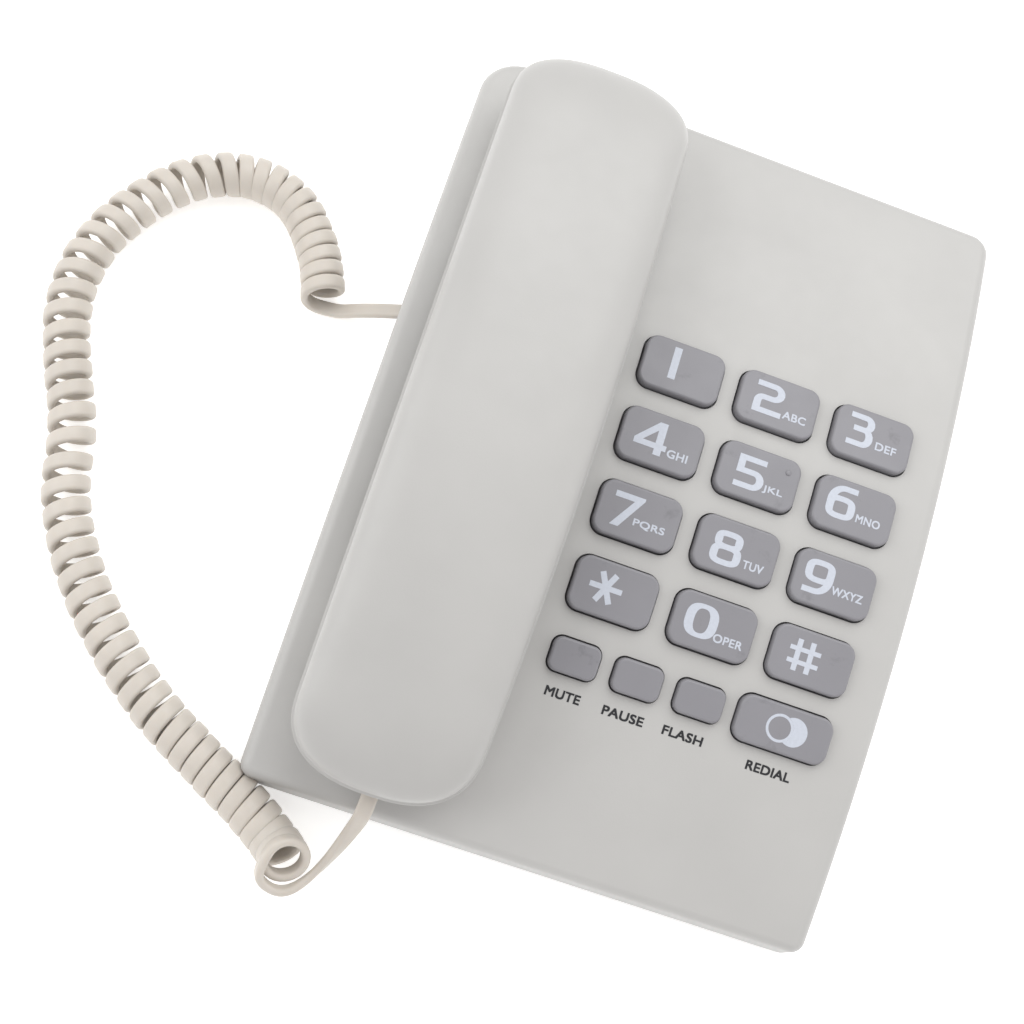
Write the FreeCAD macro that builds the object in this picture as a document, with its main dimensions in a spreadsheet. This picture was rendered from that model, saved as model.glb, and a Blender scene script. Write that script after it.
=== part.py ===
import FreeCAD, Part
import math
import os
import re
import Sketcher
from FreeCAD import Placement, Rotation, Vector

# A corded desk telephone.  Millimetres, +Z up, +Y towards the back of the case, +X to the right of
# a person who dials on it.  The origin is the middle of the case's footprint on the table.
#
# The top of the case is part of a large cylinder whose axis runs along X.  Two tilted frames are
# used: the cradle frame, whose local y runs along the chord of that cylinder, holds the handset and
# its pockets, and the keypad frame, tangent to the face, holds the boards under the keys.

DIMENSIONS = (
    ("body_width", 149.0, "width of the case"),
    ("body_depth", 200.0, "depth of the case"),
    ("front_height", 13.0, "top of the case at its front edge"),
    ("middle_height", 41.3, "top of the case at the middle"),
    ("back_height", 45.2, "top of the case at its back edge"),
    ("wall", 2.2, "thickness of the case walls"),
    ("edge_radius", 3.0, "rounding of the case's top edges"),
    ("front_corner", 3.6, "plan radius of the front corners"),
    ("back_corner", 5.6, "plan radius of the back right corner"),
    ("back_left_corner", 11.5, "plan radius of the back left corner, beside the handset"),
    ("foot_height", 1.5, "underside of the case above the table"),
    ("seam_height", 4.2, "joint line between the two case halves"),
    ("base_inset", 0.3, "lower case inside the upper one"),
    ("lip_height", 3.0, "locating lip of the lower case"),
    ("foot_radius", 6.0, "rubber foot radius"),
    ("foot_recess", 0.7, "depth that a foot sinks into the case"),
    ("key_width", 21.6, "number key, across"),
    ("key_length", 14.2, "number key, along the face"),
    ("key_corner", 3.4, "plan radius of a number key"),
    ("key_pitch_x", 26.6, "number key columns"),
    ("key_pitch_y", 20.13, "number key rows, along the face"),
    ("key_gap", 0.45, "gap between a key and the case"),
    ("key_rise", 2.2, "key above the face"),
    ("key_edge", 0.7, "rounding of a key's top edge"),
    ("key_travel", 1.5, "stroke of a key"),
    ("small_width", 12.5, "mute, pause and flash keys, across"),
    ("small_length", 8.8, "mute, pause and flash keys, along the face"),
    ("small_corner", 2.4, "plan radius of a small key"),
    ("small_pitch", 16.6, "small key spacing"),
    ("redial_width", 25.0, "redial key, across"),
    ("redial_length", 12.1, "redial key, along the face"),
    ("flange_rim", 1.0, "retaining flange beyond a key's sides"),
    ("flange_thick", 1.2, "retaining flange of a key"),
    ("stem_radius", 3.0, "key stem radius"),
    ("board_thick", 1.6, "printed circuit boards"),
    ("board_width", 80.0, "keypad board, across"),
    ("board_length", 110.0, "keypad board, along"),
    ("membrane_thick", 1.2, "rubber membrane sheet"),
    ("dome_height", 1.8, "rubber dome under a key"),
    ("handset_width", 47.4, "handset, across"),
    ("handset_length", 193.4, "handset, along"),
    ("handset_corner", 15.5, "plan radius of the handset's ends"),
    ("rim_gap", 15.0, "handset joint line above the case"),
    ("crown_height", 12.0, "outer shell above its joint line"),
    ("crown_edge", 7.0, "rounding of the outer shell"),
    ("shell_wall", 2.0, "handset wall thickness"),
    ("grip_gap", 8.0, "finger room under the grip"),
    ("end_gap", 1.2, "handset ends above the case"),
    ("cup_distance", 122.0, "ear cup to mouth cup"),
    ("cup_width", 44.0, "cup, across"),
    ("cup_length", 33.0, "cup, along"),
    ("cup_corner", 10.0, "plan radius of a cup"),
    ("pocket_length", 38.0, "cradle pocket, along"),
    ("ear_pocket_width", 48.4, "ear pocket, across"),
    ("mouth_pocket_width", 47.4, "mouth pocket, across"),
    ("lead_radius", 2.2, "straight cord lead"),
    ("coil_radius", 6.2, "outside of the curly cord"),
    ("screw_radius", 1.3, "self-tapping screw shank"),
    ("keyhole_radius", 4.2, "wall keyhole, round end"),
    ("keyhole_slot", 2.2, "wall keyhole, half width of its slot"),
    ("keyhole_pitch", 83.0, "wall keyhole spacing"),
)

doc = FreeCAD.newDocument("corded_phone")
sheet = doc.addObject("Spreadsheet::Sheet", "Dimensions")
for row, (alias, number, note) in enumerate(DIMENSIONS, start=1):
    sheet.set("A%d" % row, note)
    sheet.set("B%d" % row, str(number))
    sheet.setAlias("B%d" % row, alias)
doc.recompute()
ALIASES = [alias for alias, number, note in DIMENSIONS]
parts = {}


# ---------------------------------------------------------------- helpers


def size(alias):
    """The number in the sheet's cell of that name."""
    return float(sheet.get(alias))


def bind(item, prop, text):
    """Bind a property to a formula whose words are aliases of the sheet."""
    words = r"[a-z]+(?:_[a-z]+)*"
    named = re.sub(words, lambda word: qualified(word.group()), text)
    item.setExpression(prop, named)


def qualified(word):
    return "Dimensions." + word if word in ALIASES else word


def keep(label, item):
    """Register a finished sub-part under the name of its file."""
    item.Label = label
    parts[label] = item
    return item


def at(x, y, z):
    return Placement(Vector(x, y, z), Rotation())


def box(name, length, width, height, low, frame=None):
    """A box with sizes in formulas; low is its low corner in the frame."""
    made = doc.addObject("Part::Box", name)
    bind(made, "Length", length)
    bind(made, "Width", width)
    bind(made, "Height", height)
    made.Placement = (frame or Placement()) * at(*low)
    return made


def rod(name, radius, height, low, frame=None, turn=None):
    """A cylinder that starts at low and runs along the frame's z, or along the turned z."""
    made = doc.addObject("Part::Cylinder", name)
    bind(made, "Radius", radius)
    bind(made, "Height", height)
    made.Placement = (frame or Placement()) * Placement(Vector(*low), turn or Rotation())
    return made


def fuse(name, *items):
    made = doc.addObject("Part::MultiFuse", name)
    made.Shapes = list(items)
    return made


def common(name, first, second):
    made = doc.addObject("Part::MultiCommon", name)
    made.Shapes = [first, second]
    return made


def cut(name, base, *tools):
    made = doc.addObject("Part::Cut", name)
    made.Base = base
    made.Tool = tools[0] if len(tools) == 1 else fuse(name + "_tools", *tools)
    return made


def group(name, items):
    """Several separate solids kept as one node."""
    made = doc.addObject("Part::Compound", name)
    made.Links = list(items)
    return made


def new_sketch(body, name, height=0.0, role="XY_Plane"):
    sketch = body.newObject("Sketcher::SketchObject", name)
    plane = next(item for item in body.Origin.OriginFeatures if item.Role == role)
    sketch.AttachmentSupport = [(plane, "")]
    sketch.MapMode = "FlatFace"
    sketch.AttachmentOffset = at(0, 0, height)
    return sketch


def rounded_outline(sketch, width, length, near, far=None, numbers=None, far_left=None):
    """A centred rectangle with round corners: near is the radius on the -Y side, far on +Y."""
    wide, deep, near_r, far_r = numbers[:4]
    left_r = numbers[4] if far_left else far_r
    half_w, half_l = wide / 2, deep / 2
    corners = (
        (half_w - near_r, -half_l + near_r, near_r, -90),
        (half_w - far_r, half_l - far_r, far_r, 0),
        (-half_w + left_r, half_l - left_r, left_r, 90),
        (-half_w + near_r, -half_l + near_r, near_r, 180),
    )
    ends = []
    for x, y, radius, start in corners:
        spots = []
        for angle in (start, start + 90):
            turn = math.radians(angle)
            spots.append(Vector(x + radius * math.cos(turn), y + radius * math.sin(turn), 0))
        ends.append(spots)
    for index in range(4):
        sketch.addGeometry(Part.LineSegment(ends[index - 1][1], ends[index][0]), False)
    for x, y, radius, start in corners:
        circle = Part.Circle(Vector(x, y, 0), Vector(0, 0, 1), radius)
        first = math.radians(start)
        sketch.addGeometry(Part.ArcOfCircle(circle, first, first + math.pi / 2), False)
    rules = []
    for index in range(4):
        following = (index + 1) % 4
        rules.append(Sketcher.Constraint("Tangent", index, 2, 4 + index, 1))
        rules.append(Sketcher.Constraint("Tangent", 4 + index, 2, following, 1))
    rules.append(Sketcher.Constraint("Horizontal", 0))
    rules.append(Sketcher.Constraint("Horizontal", 2))
    rules.append(Sketcher.Constraint("Vertical", 1))
    rules.append(Sketcher.Constraint("Vertical", 3))
    rules.append(Sketcher.Constraint("Equal", 4, 7))
    if not far_left:
        rules.append(Sketcher.Constraint("Equal", 5, 6))
    for rule in rules:
        sketch.addConstraint(rule)
    bound = [
        (Sketcher.Constraint("Radius", 4, near_r), near),
        (Sketcher.Constraint("Radius", 5, far_r), far or near),
        (Sketcher.Constraint("DistanceX", 3, 1, 1, 1, wide), width),
        (Sketcher.Constraint("DistanceY", 0, 1, 2, 1, deep), length),
        (Sketcher.Constraint("DistanceX", -1, 1, 1, 1, half_w), "(%s) / 2" % width),
        (Sketcher.Constraint("DistanceY", -1, 1, 2, 1, half_l), "(%s) / 2" % length),
    ]
    if far_left:
        bound.append((Sketcher.Constraint("Radius", 6, left_r), far_left))
    for rule, text in bound:
        index = sketch.addConstraint(rule)
        bind(sketch, "Constraints[%d]" % index, text)


def slab(name, width, length, near, height, low=0.0, far=None, numbers=None, far_left=None):
    """A PartDesign body: a rounded outline padded upwards from low."""
    body = doc.addObject("PartDesign::Body", name)
    sketch = new_sketch(body, name + "_outline", low)
    rounded_outline(sketch, width, length, near, far, numbers, far_left)
    pad = body.newObject("PartDesign::Pad", name + "_pad")
    pad.Profile = sketch
    bind(pad, "Length", height)
    sketch.Visibility = False
    return body


def edges_where(shape, test):
    return [index for index, edge in enumerate(shape.Edges, start=1) if test(edge)]


def edge_middle(edge):
    first, last = edge.ParameterRange
    return edge.valueAt((first + last) / 2)


def round_body(body, test, radius):
    """Round the edges of a PartDesign body that pass a test."""
    doc.recompute()
    base = body.Tip
    fillet = body.newObject("PartDesign::Fillet", body.Name + "_fillet")
    fillet.Base = (base, ["Edge%d" % index for index in edges_where(base.Shape, test)])
    bind(fillet, "Radius", radius)
    body.Tip = fillet
    return fillet


def round_part(name, item, test, radius):
    """Round the edges of a Part solid that pass a test."""
    doc.recompute()
    made = doc.addObject("Part::Fillet", name)
    made.Base = item
    made.Edges = [(index, radius, radius) for index in edges_where(item.Shape, test)]
    return made


# ---------------------------------------------------------------- the face and its frames


half_depth = size("body_depth") / 2
half_width = size("body_width") / 2
chord_tilt = math.atan2(size("back_height") - size("front_height"), size("body_depth"))
chord_middle = (size("back_height") + size("front_height")) / 2
half_chord = half_depth / math.cos(chord_tilt)
face_sagitta = (size("middle_height") - chord_middle) * math.cos(chord_tilt)
face_radius = (half_chord**2 + face_sagitta**2) / (2 * face_sagitta)
axis_y = (face_radius - face_sagitta) * math.sin(chord_tilt)
axis_z = chord_middle - (face_radius - face_sagitta) * math.cos(chord_tilt)


def face_angle(y):
    """Angle from vertical of the line from the cylinder's axis to the face at y."""
    return math.asin((y - axis_y) / face_radius)


def face_frame(x, angle):
    """Frame on the face: local z is the outward normal and local y climbs the face."""
    y = axis_y + face_radius * math.sin(angle)
    z = axis_z + face_radius * math.cos(angle)
    return Placement(Vector(x, y, z), Rotation(Vector(1, 0, 0), -math.degrees(angle)))


def face_cylinder(name, offset):
    """The face's own cylinder, larger or smaller by an offset, lying along X."""
    made = doc.addObject("Part::Cylinder", name)
    made.Radius = face_radius + offset
    bind(made, "Height", "body_width + 20")
    lying = Rotation(Vector(0, 1, 0), 90)
    made.Placement = Placement(Vector(-half_width - 10, axis_y, axis_z), lying)
    return made


HANDSET_X = -42.5
HANDSET_SHIFT = 0.5
cradle = Placement(
    Vector(HANDSET_X, 0, chord_middle),
    Rotation(Vector(1, 0, 0), math.degrees(chord_tilt)),
)
cup_y = size("cup_distance") / 2
ear_frame = cradle * at(0, cup_y, 0)
mouth_frame = cradle * at(0, -cup_y, 0)

KEYPAD_X = 25.3
FIRST_ROW_Y = 26.8
KEYPAD_Y = -12.0
FUNCTION_ROW = 79.0
keypad_angle = face_angle(KEYPAD_Y)
keypad = face_frame(KEYPAD_X, keypad_angle)


# ---------------------------------------------------------------- keys


NUMBER_KEYS = (
    ("key_1", "key_2", "key_3"),
    ("key_4", "key_5", "key_6"),
    ("key_7", "key_8", "key_9"),
    ("key_star", "key_0", "key_hash"),
)
SMALL_KEYS = ("key_mute", "key_pause", "key_flash")
FIRST_SMALL_X = -5.3
REDIAL_X = 50.4
FLANGE_TOP = -2.6
DOME_TOP = -9.2
STEM_CLEARANCE = 0.65


def key_places():
    """Name, style, x and face angle of every key."""
    first = face_angle(FIRST_ROW_Y)
    places = []
    for row, names in enumerate(NUMBER_KEYS):
        angle = first - row * size("key_pitch_y") / face_radius
        for column, name in enumerate(names):
            places.append((name, "key", KEYPAD_X + (column - 1) * size("key_pitch_x"), angle))
    angle = first - FUNCTION_ROW / face_radius
    for index, name in enumerate(SMALL_KEYS):
        places.append((name, "small", FIRST_SMALL_X + index * size("small_pitch"), angle))
    places.append(("key_redial", "redial", REDIAL_X, angle))
    return places


def corner_of(style):
    return "small_corner" if style == "small" else "key_corner"


def key_numbers(style, grow, corner_grow):
    corner = size(corner_of(style)) + corner_grow
    return (size(style + "_width") + grow, size(style + "_length") + grow, corner, corner)


def dome_drop(angle):
    """How far the face lies below the keypad frame's plane at that angle."""
    return face_radius * (1 - math.cos(angle - keypad_angle))


def make_key(name, style, x, angle):
    """A key cap with its retaining flange and stem."""
    corner = corner_of(style)
    width = style + "_width"
    length = style + "_length"
    body = doc.addObject("PartDesign::Body", name + "_body")
    cap_sketch = new_sketch(body, name + "_cap_outline", FLANGE_TOP)
    rounded_outline(cap_sketch, width, length, corner, None, key_numbers(style, 0, 0))
    cap = body.newObject("PartDesign::Pad", name + "_cap")
    cap.Profile = cap_sketch
    bind(cap, "Length", "key_rise + %g" % -FLANGE_TOP)
    flange_sketch = new_sketch(body, name + "_flange_outline", FLANGE_TOP)
    rim = 2 * size("flange_rim")
    grown = (width + " + 2 * flange_rim", length + " + 2 * flange_rim")
    rounded_outline(flange_sketch, *grown, corner, None, key_numbers(style, rim, 0))
    flange = body.newObject("PartDesign::Pad", name + "_flange")
    flange.Profile = flange_sketch
    flange.Reversed = True
    bind(flange, "Length", "flange_thick")
    stem_sketch = new_sketch(body, name + "_stem_outline", FLANGE_TOP)
    circle = Part.Circle(Vector(0, 0, 0), Vector(0, 0, 1), size("stem_radius"))
    stem_sketch.addGeometry(circle, False)
    stem_sketch.addConstraint(Sketcher.Constraint("Coincident", 0, 3, -1, 1))
    index = stem_sketch.addConstraint(Sketcher.Constraint("Radius", 0, size("stem_radius")))
    bind(stem_sketch, "Constraints[%d]" % index, "stem_radius")
    stem = body.newObject("PartDesign::Pad", name + "_stem")
    stem.Profile = stem_sketch
    stem.Reversed = True
    reach = -DOME_TOP - STEM_CLEARANCE - dome_drop(angle) + FLANGE_TOP
    bind(stem, "Length", "%.4f - key_travel" % reach)
    top = size("key_rise")
    round_body(body, lambda edge: abs(edge_middle(edge).z - top) < 1e-4, "key_edge")
    body.Placement = face_frame(x, angle)
    keep(name, body)


def make_aperture(name, style, x, angle):
    """The hole in the case that a key moves in."""
    gap = 2 * size("key_gap")
    tool = slab(
        name + "_aperture",
        style + "_width + 2 * key_gap",
        style + "_length + 2 * key_gap",
        corner_of(style) + " + key_gap",
        "14",
        low=-7.0,
        numbers=key_numbers(style, gap, size("key_gap")),
    )
    tool.Placement = face_frame(x, angle)
    return tool


for place in key_places():
    make_key(*place)
apertures = [make_aperture(*place) for place in key_places()]


# ---------------------------------------------------------------- upper case


POCKETS = (("ear", "ear_pocket_width", ear_frame), ("mouth", "mouth_pocket_width", mouth_frame))
POCKET_FLOOR = -1.0
REST_TOP = 0.3
HOOK_Y = 9.0
JACK_Y = 33.0
JACK_Z = 12.0
LINE_JACK_X = -30.0
RINGER_SWITCH_X = 20.0
DIAL_SWITCH_X = 42.0
SWITCH_Z = 15.0
BOSS_SPOTS = ((-64.5, -86.0), (64.5, -86.0), (-64.5, 88.0), (64.5, 88.0))
BOARD_POSTS = ((-37.0, -52.0), (37.0, -52.0), (-37.0, 52.0), (37.0, 52.0))
CASE_TOP = 80.0
BOARD_TOP = DOME_TOP - size("dome_height") - size("membrane_thick")


def case_numbers(inset):
    return (
        size("body_width") - 2 * inset,
        size("body_depth") - 2 * inset,
        size("front_corner") - min(inset, size("front_corner") - 1.2),
        size("back_corner") - inset,
        size("back_left_corner") - inset,
    )


def on_face(edge):
    """True for the edges where a wall meets the curved top."""
    for spot in (edge.ParameterRange[0], sum(edge.ParameterRange) / 2, edge.ParameterRange[1]):
        point = edge.valueAt(spot)
        if abs(math.hypot(point.y - axis_y, point.z - axis_z) - face_radius) > 0.02:
            return False
    return True


def make_case_form():
    block = slab(
        "case_block",
        "body_width",
        "body_depth",
        "front_corner",
        "%g" % CASE_TOP,
        low=size("seam_height"),
        far="back_corner",
        far_left="back_left_corner",
        numbers=case_numbers(0),
    )
    form = common("case_form", block, face_cylinder("face_outer", 0))
    return round_part("case_rounded", form, on_face, size("edge_radius"))


def make_cavity():
    inner = slab(
        "case_cavity_block",
        "body_width - 2 * wall",
        "body_depth - 2 * wall",
        "front_corner - wall",
        "%g" % CASE_TOP,
        low=size("seam_height") - 1.0,
        far="back_corner - wall",
        far_left="back_left_corner - wall",
        numbers=case_numbers(size("wall")),
    )
    return common("case_cavity", inner, face_cylinder("face_inner", -size("wall")))


def pocket_block(name, width, grow, low, height, frame):
    """A rounded block in a pocket's frame, grown by a wall on every side."""
    corner = size("cup_corner") + 1.0 + grow
    block = slab(
        name,
        "%s + %g" % (width, 2 * grow),
        "pocket_length + %g" % (2 * grow),
        "cup_corner + %g" % (1.0 + grow),
        "%g" % height,
        low=low,
        numbers=(size(width) + 2 * grow, size("pocket_length") + 2 * grow, corner, corner),
    )
    block.Placement = frame
    return block


def make_top_case():
    form = make_case_form()
    shell = cut("case_shell", form, make_cavity())
    solid = []
    hollow = list(apertures)
    for name, width, frame in POCKETS:
        hollow.append(pocket_block(name + "_opening", width, 0.0, POCKET_FLOOR, 45, frame))
    for index, (x, y) in enumerate(BOSS_SPOTS):
        low = (x, y, size("seam_height") + 2.6)
        solid.append(rod("boss_%d" % index, "3.6", "50", low))
        hollow.append(rod("boss_hole_%d" % index, "screw_radius + 0.05", "7.5", low))
    for index, (x, y) in enumerate(BOARD_POSTS):
        solid.append(rod("post_%d" % index, "2.4", "%g" % (-4.0 - BOARD_TOP), (x, y, BOARD_TOP), keypad))
        hollow.append(rod("post_hole_%d" % index, "1.05", "5", (x, y, BOARD_TOP), keypad))
    solid.append(box("hanger_backing", "16", "18", "6", (-8, -9 + 26, 5), cradle))
    inside = common("case_inside", fuse("case_solids", *solid), form)
    hollow.append(box("hanger_recess", "12.4", "14.4", "12", (-6.2, -7.2 + 26, 7.6), cradle))
    hollow.append(box("jack_opening", "8", "13", "10.6", (-half_width - 2, JACK_Y - 6.5, JACK_Z - 5.3)))
    line_low = (LINE_JACK_X - 7, half_depth - 6, SWITCH_Z - 6.5)
    hollow.append(box("line_jack_opening", "14", "8", "13", line_low))
    for name, x in (("ringer", RINGER_SWITCH_X), ("dial", DIAL_SWITCH_X)):
        hollow.append(box(name + "_slot", "12", "8", "4.4", (x - 6, half_depth - 6, SWITCH_Z - 2.2)))
    keep("top_case", cut("case_cut", fuse("case_filled", shell, inside), *hollow))


def make_cradle_tub(name, width, frame):
    """The tub under the face that takes one end of the handset, with two ribs for it to rest on."""
    blank = common(
        name + "_tub_blank",
        pocket_block(name + "_tub_block", width, 2.0, POCKET_FLOOR - size("wall"), 40, frame),
        face_cylinder(name + "_tub_limit", -size("wall") - 0.03),
    )
    hollow = [pocket_block(name + "_tub_room", width, 0.0, POCKET_FLOOR, 45, frame)]
    if name == "ear":
        hollow.append(box("plunger_hole", "7.6", "5", "8", (-3.8, HOOK_Y - 2.5, -6), frame))
    rests = []
    for side in (-14.0, 14.0):
        low = (side - 1, -10, POCKET_FLOOR - 0.2)
        height = "%g" % (REST_TOP - low[2])
        rests.append(box("%s_rest_%d" % (name, side), "2", "20", height, low, frame))
    keep(name + "_cradle_tub", fuse(name + "_tub", cut(name + "_tub_cut", blank, *hollow), *rests))


make_top_case()
for pocket in POCKETS:
    make_cradle_tub(*pocket)


# ---------------------------------------------------------------- lower case, feet and screws


FEET = ((-48.0, -79.0), (48.0, -79.0), (-48.0, 81.0), (48.0, 81.0))
KEYHOLE_X = 2.0
KEYHOLE_Y = -27.0
RINGER_SPOT = (-42.0, -52.0)
WEIGHT_SPOT = (-64.0, -22.0)
MAIN_BOARD = (14.0, 14.0)
base_top = size("foot_height") + size("wall")


def make_bottom_case():
    inset = size("base_inset")
    plate = slab(
        "base_plate",
        "body_width - 2 * base_inset",
        "body_depth - 2 * base_inset",
        "front_corner - base_inset",
        "seam_height - foot_height",
        low=size("foot_height"),
        far="back_corner - base_inset",
        far_left="back_left_corner - base_inset",
        numbers=case_numbers(inset),
    )
    lip_inset = size("wall") + 0.15
    lip = slab(
        "base_lip",
        "body_width - 2 * (wall + 0.15)",
        "body_depth - 2 * (wall + 0.15)",
        "1.2",
        "lip_height + 0.5",
        low=size("seam_height") - 0.5,
        far="back_corner - wall - 0.15",
        far_left="back_left_corner - wall - 0.15",
        numbers=(
            size("body_width") - 2 * lip_inset,
            size("body_depth") - 2 * lip_inset,
            1.2,
            size("back_corner") - lip_inset,
            size("back_left_corner") - lip_inset,
        ),
    )
    room_inset = lip_inset + 1.4
    room = slab(
        "base_room",
        "body_width - 2 * (wall + 1.55)",
        "body_depth - 2 * (wall + 1.55)",
        "1.2",
        "20",
        low=base_top,
        far="back_corner - wall - 1.55",
        far_left="back_left_corner - wall - 1.55",
        numbers=(
            size("body_width") - 2 * room_inset,
            size("body_depth") - 2 * room_inset,
            1.2,
            size("back_corner") - room_inset,
            size("back_left_corner") - room_inset,
        ),
    )
    tray = cut("base_tray", fuse("base_blank", plate, lip), room)
    raised = []
    hollow = []
    foot = size("foot_height")
    boss_height = "seam_height + 2.5 - foot_height"
    for index, (x, y) in enumerate(BOSS_SPOTS):
        raised.append(rod("base_boss_%d" % index, "5", boss_height, (x, y, foot)))
        hollow.append(rod("counterbore_%d" % index, "3.1", "2.6", (x, y, foot)))
        hollow.append(rod("screw_hole_%d" % index, "screw_radius + 0.4", "8", (x, y, foot)))
    for index, (x, y) in enumerate(FEET):
        hollow.append(rod("foot_seat_%d" % index, "foot_radius", "foot_recess", (x, y, foot)))
    for index in range(2):
        y = KEYHOLE_Y + index * size("keyhole_pitch")
        hollow.append(rod("keyhole_%d" % index, "keyhole_radius", "wall + 2", (KEYHOLE_X, y, foot - 1)))
        low = (KEYHOLE_X - size("keyhole_slot"), y, foot - 1)
        hollow.append(box("keyhole_neck_%d" % index, "2 * keyhole_slot", "10", "wall + 2", low))
    for ring, (radius, count) in enumerate(((0.0, 1), (5.0, 6), (10.0, 12))):
        for index in range(count):
            turn = 2 * math.pi * index / count
            x = RINGER_SPOT[0] + radius * math.cos(turn)
            y = RINGER_SPOT[1] + radius * math.sin(turn)
            name = "sound_hole_%d_%d" % (ring, index)
            hollow.append(rod(name, "1.2", "wall + 2", (x, y, foot - 1)))
    jack_low = (-half_width, JACK_Y - 6.6, size("seam_height") - 0.02)
    hollow.append(box("lip_notch_jack", "6", "13.2", "8", jack_low))
    line_low = (LINE_JACK_X - 7.2, half_depth - 6, size("seam_height") - 0.02)
    hollow.append(box("lip_notch_line", "14.4", "6", "8", line_low))
    keep("bottom_case", cut("base_cut", fuse("base_filled", tray, *raised), *hollow))


def make_feet():
    feet = []
    for index, (x, y) in enumerate(FEET):
        feet.append(rod("foot_%d" % index, "foot_radius", "foot_height + foot_recess", (x, y, 0)))
    keep("rubber_feet", group("feet", feet))


def make_case_screws():
    head_low = size("foot_height") + 0.8
    screws = []
    for index, (x, y) in enumerate(BOSS_SPOTS):
        head = rod("case_screw_head_%d" % index, "2.8", "1.8", (x, y, head_low))
        shank = rod("case_screw_shank_%d" % index, "screw_radius", "10", (x, y, head_low + 1.7))
        cross = box("case_screw_cross_%d" % index, "3", "0.8", "1", (x - 1.5, y - 0.4, head_low - 0.1))
        screws.append(cut("case_screw_%d" % index, fuse("case_screw_solid_%d" % index, head, shank), cross))
    keep("case_screws", group("case_screw_set", screws))


make_bottom_case()
make_feet()
make_case_screws()


# ---------------------------------------------------------------- keypad boards


def make_keypad_boards():
    half_board = (size("board_width") / 2, size("board_length") / 2)
    low = (-half_board[0], -half_board[1], BOARD_TOP - size("board_thick"))
    board = box("keypad_board_plate", "board_width", "board_length", "board_thick", low, keypad)
    holes = []
    for index, (x, y) in enumerate(BOARD_POSTS):
        spot = (x, y, BOARD_TOP - size("board_thick") - 1)
        holes.append(rod("board_hole_%d" % index, "1.3", "board_thick + 2", spot, keypad))
    keep("keypad_board", cut("keypad_board_cut", board, *holes))
    sheet_low = (-34.0, -47.5, BOARD_TOP)
    rubber = [box("membrane_sheet", "68", "95", "membrane_thick", sheet_low, keypad)]
    for name, style, x, angle in key_places():
        along = face_radius * math.sin(angle - keypad_angle)
        foot = (x - KEYPAD_X, along, BOARD_TOP + size("membrane_thick") - 0.2)
        dome = doc.addObject("Part::Cone", name + "_dome")
        bind(dome, "Height", "dome_height + 0.2")
        dome.Radius1 = 4.2
        dome.Radius2 = 2.6
        dome.Placement = keypad * at(*foot)
        rubber.append(dome)
    keep("keypad_membrane", fuse("membrane", *rubber))
    screws = []
    for index, (x, y) in enumerate(BOARD_POSTS):
        head_low = BOARD_TOP - size("board_thick") - 1.5
        head = rod("board_screw_head_%d" % index, "2.4", "1.5", (x, y, head_low), keypad)
        shank = rod("board_screw_shank_%d" % index, "1", "6", (x, y, head_low + 1.4), keypad)
        screws.append(fuse("board_screw_%d" % index, head, shank))
    keep("board_screws", group("board_screw_set", screws))


make_keypad_boards()


# ---------------------------------------------------------------- inside the base


BOARD_LEVEL = base_top + 4.0


def make_main_board():
    x, y = MAIN_BOARD
    plate = box("main_board_plate", "52", "66", "board_thick", (x, y, BOARD_LEVEL))
    pillars = []
    holes = []
    for index, (dx, dy) in enumerate(((4, 4), (48, 4), (4, 62), (48, 62))):
        low = (x + dx, y + dy, base_top)
        pillars.append(rod("spacer_%d" % index, "3", "4", low))
        holes.append(rod("main_hole_%d" % index, "1.5", "10", (x + dx, y + dy, BOARD_LEVEL - 2)))
    keep("main_board", cut("main_board_cut", plate, *holes))
    keep("board_spacers", group("spacers", pillars))
    top = BOARD_LEVEL + size("board_thick")
    chip = [box("chip_body", "9", "24", "3.4", (x + 20, y + 20, top + 0.5))]
    for index in range(9):
        for side, dx in (("left", 18.8), ("right", 29.0)):
            spot = (x + dx, y + 21.3 + index * 2.54, top)
            chip.append(box("chip_pin_%s_%d" % (side, index), "1.2", "0.6", "2.4", spot))
    keep("dialler_chip", fuse("chip", *chip))
    tall = []
    for index, (dx, dy, radius, height) in enumerate(
        ((8, 30, 4.0, 9.0), (8, 42, 3.2, 8.0), (30, 9, 5.0, 11.0), (20, 9, 3.2, 7.0), (20, 54, 2.5, 6.0))
    ):
        tall.append(rod("capacitor_%d" % index, "%g" % radius, "%g" % height, (x + dx, y + dy, top)))
    keep("capacitors", group("capacitor_set", tall))
    bridge = box("bridge", "8", "6", "5.5", (x + 36, y + 44, top))
    keep("line_rectifier", bridge)


def make_ringer():
    x, y = RINGER_SPOT
    ring = rod("ringer_ring", "14.5", "4.5", (x, y, base_top))
    disc_seat = rod("ringer_seat", "13", "3", (x, y, base_top + 2))
    throat = rod("ringer_throat", "11.5", "3", (x, y, base_top - 0.5))
    keep("ringer_holder", cut("ringer_cup", ring, disc_seat, throat))
    disc = rod("ringer_plate", "13", "0.4", (x, y, base_top + 2))
    ceramic = rod("ringer_ceramic", "9", "0.4", (x, y, base_top + 2.4))
    keep("ringer_disc", fuse("ringer", disc, ceramic))


def make_base_weight():
    x, y = WEIGHT_SPOT
    keep("base_weight", box("weight", "48", "40", "5", (x, y, base_top)))


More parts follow.
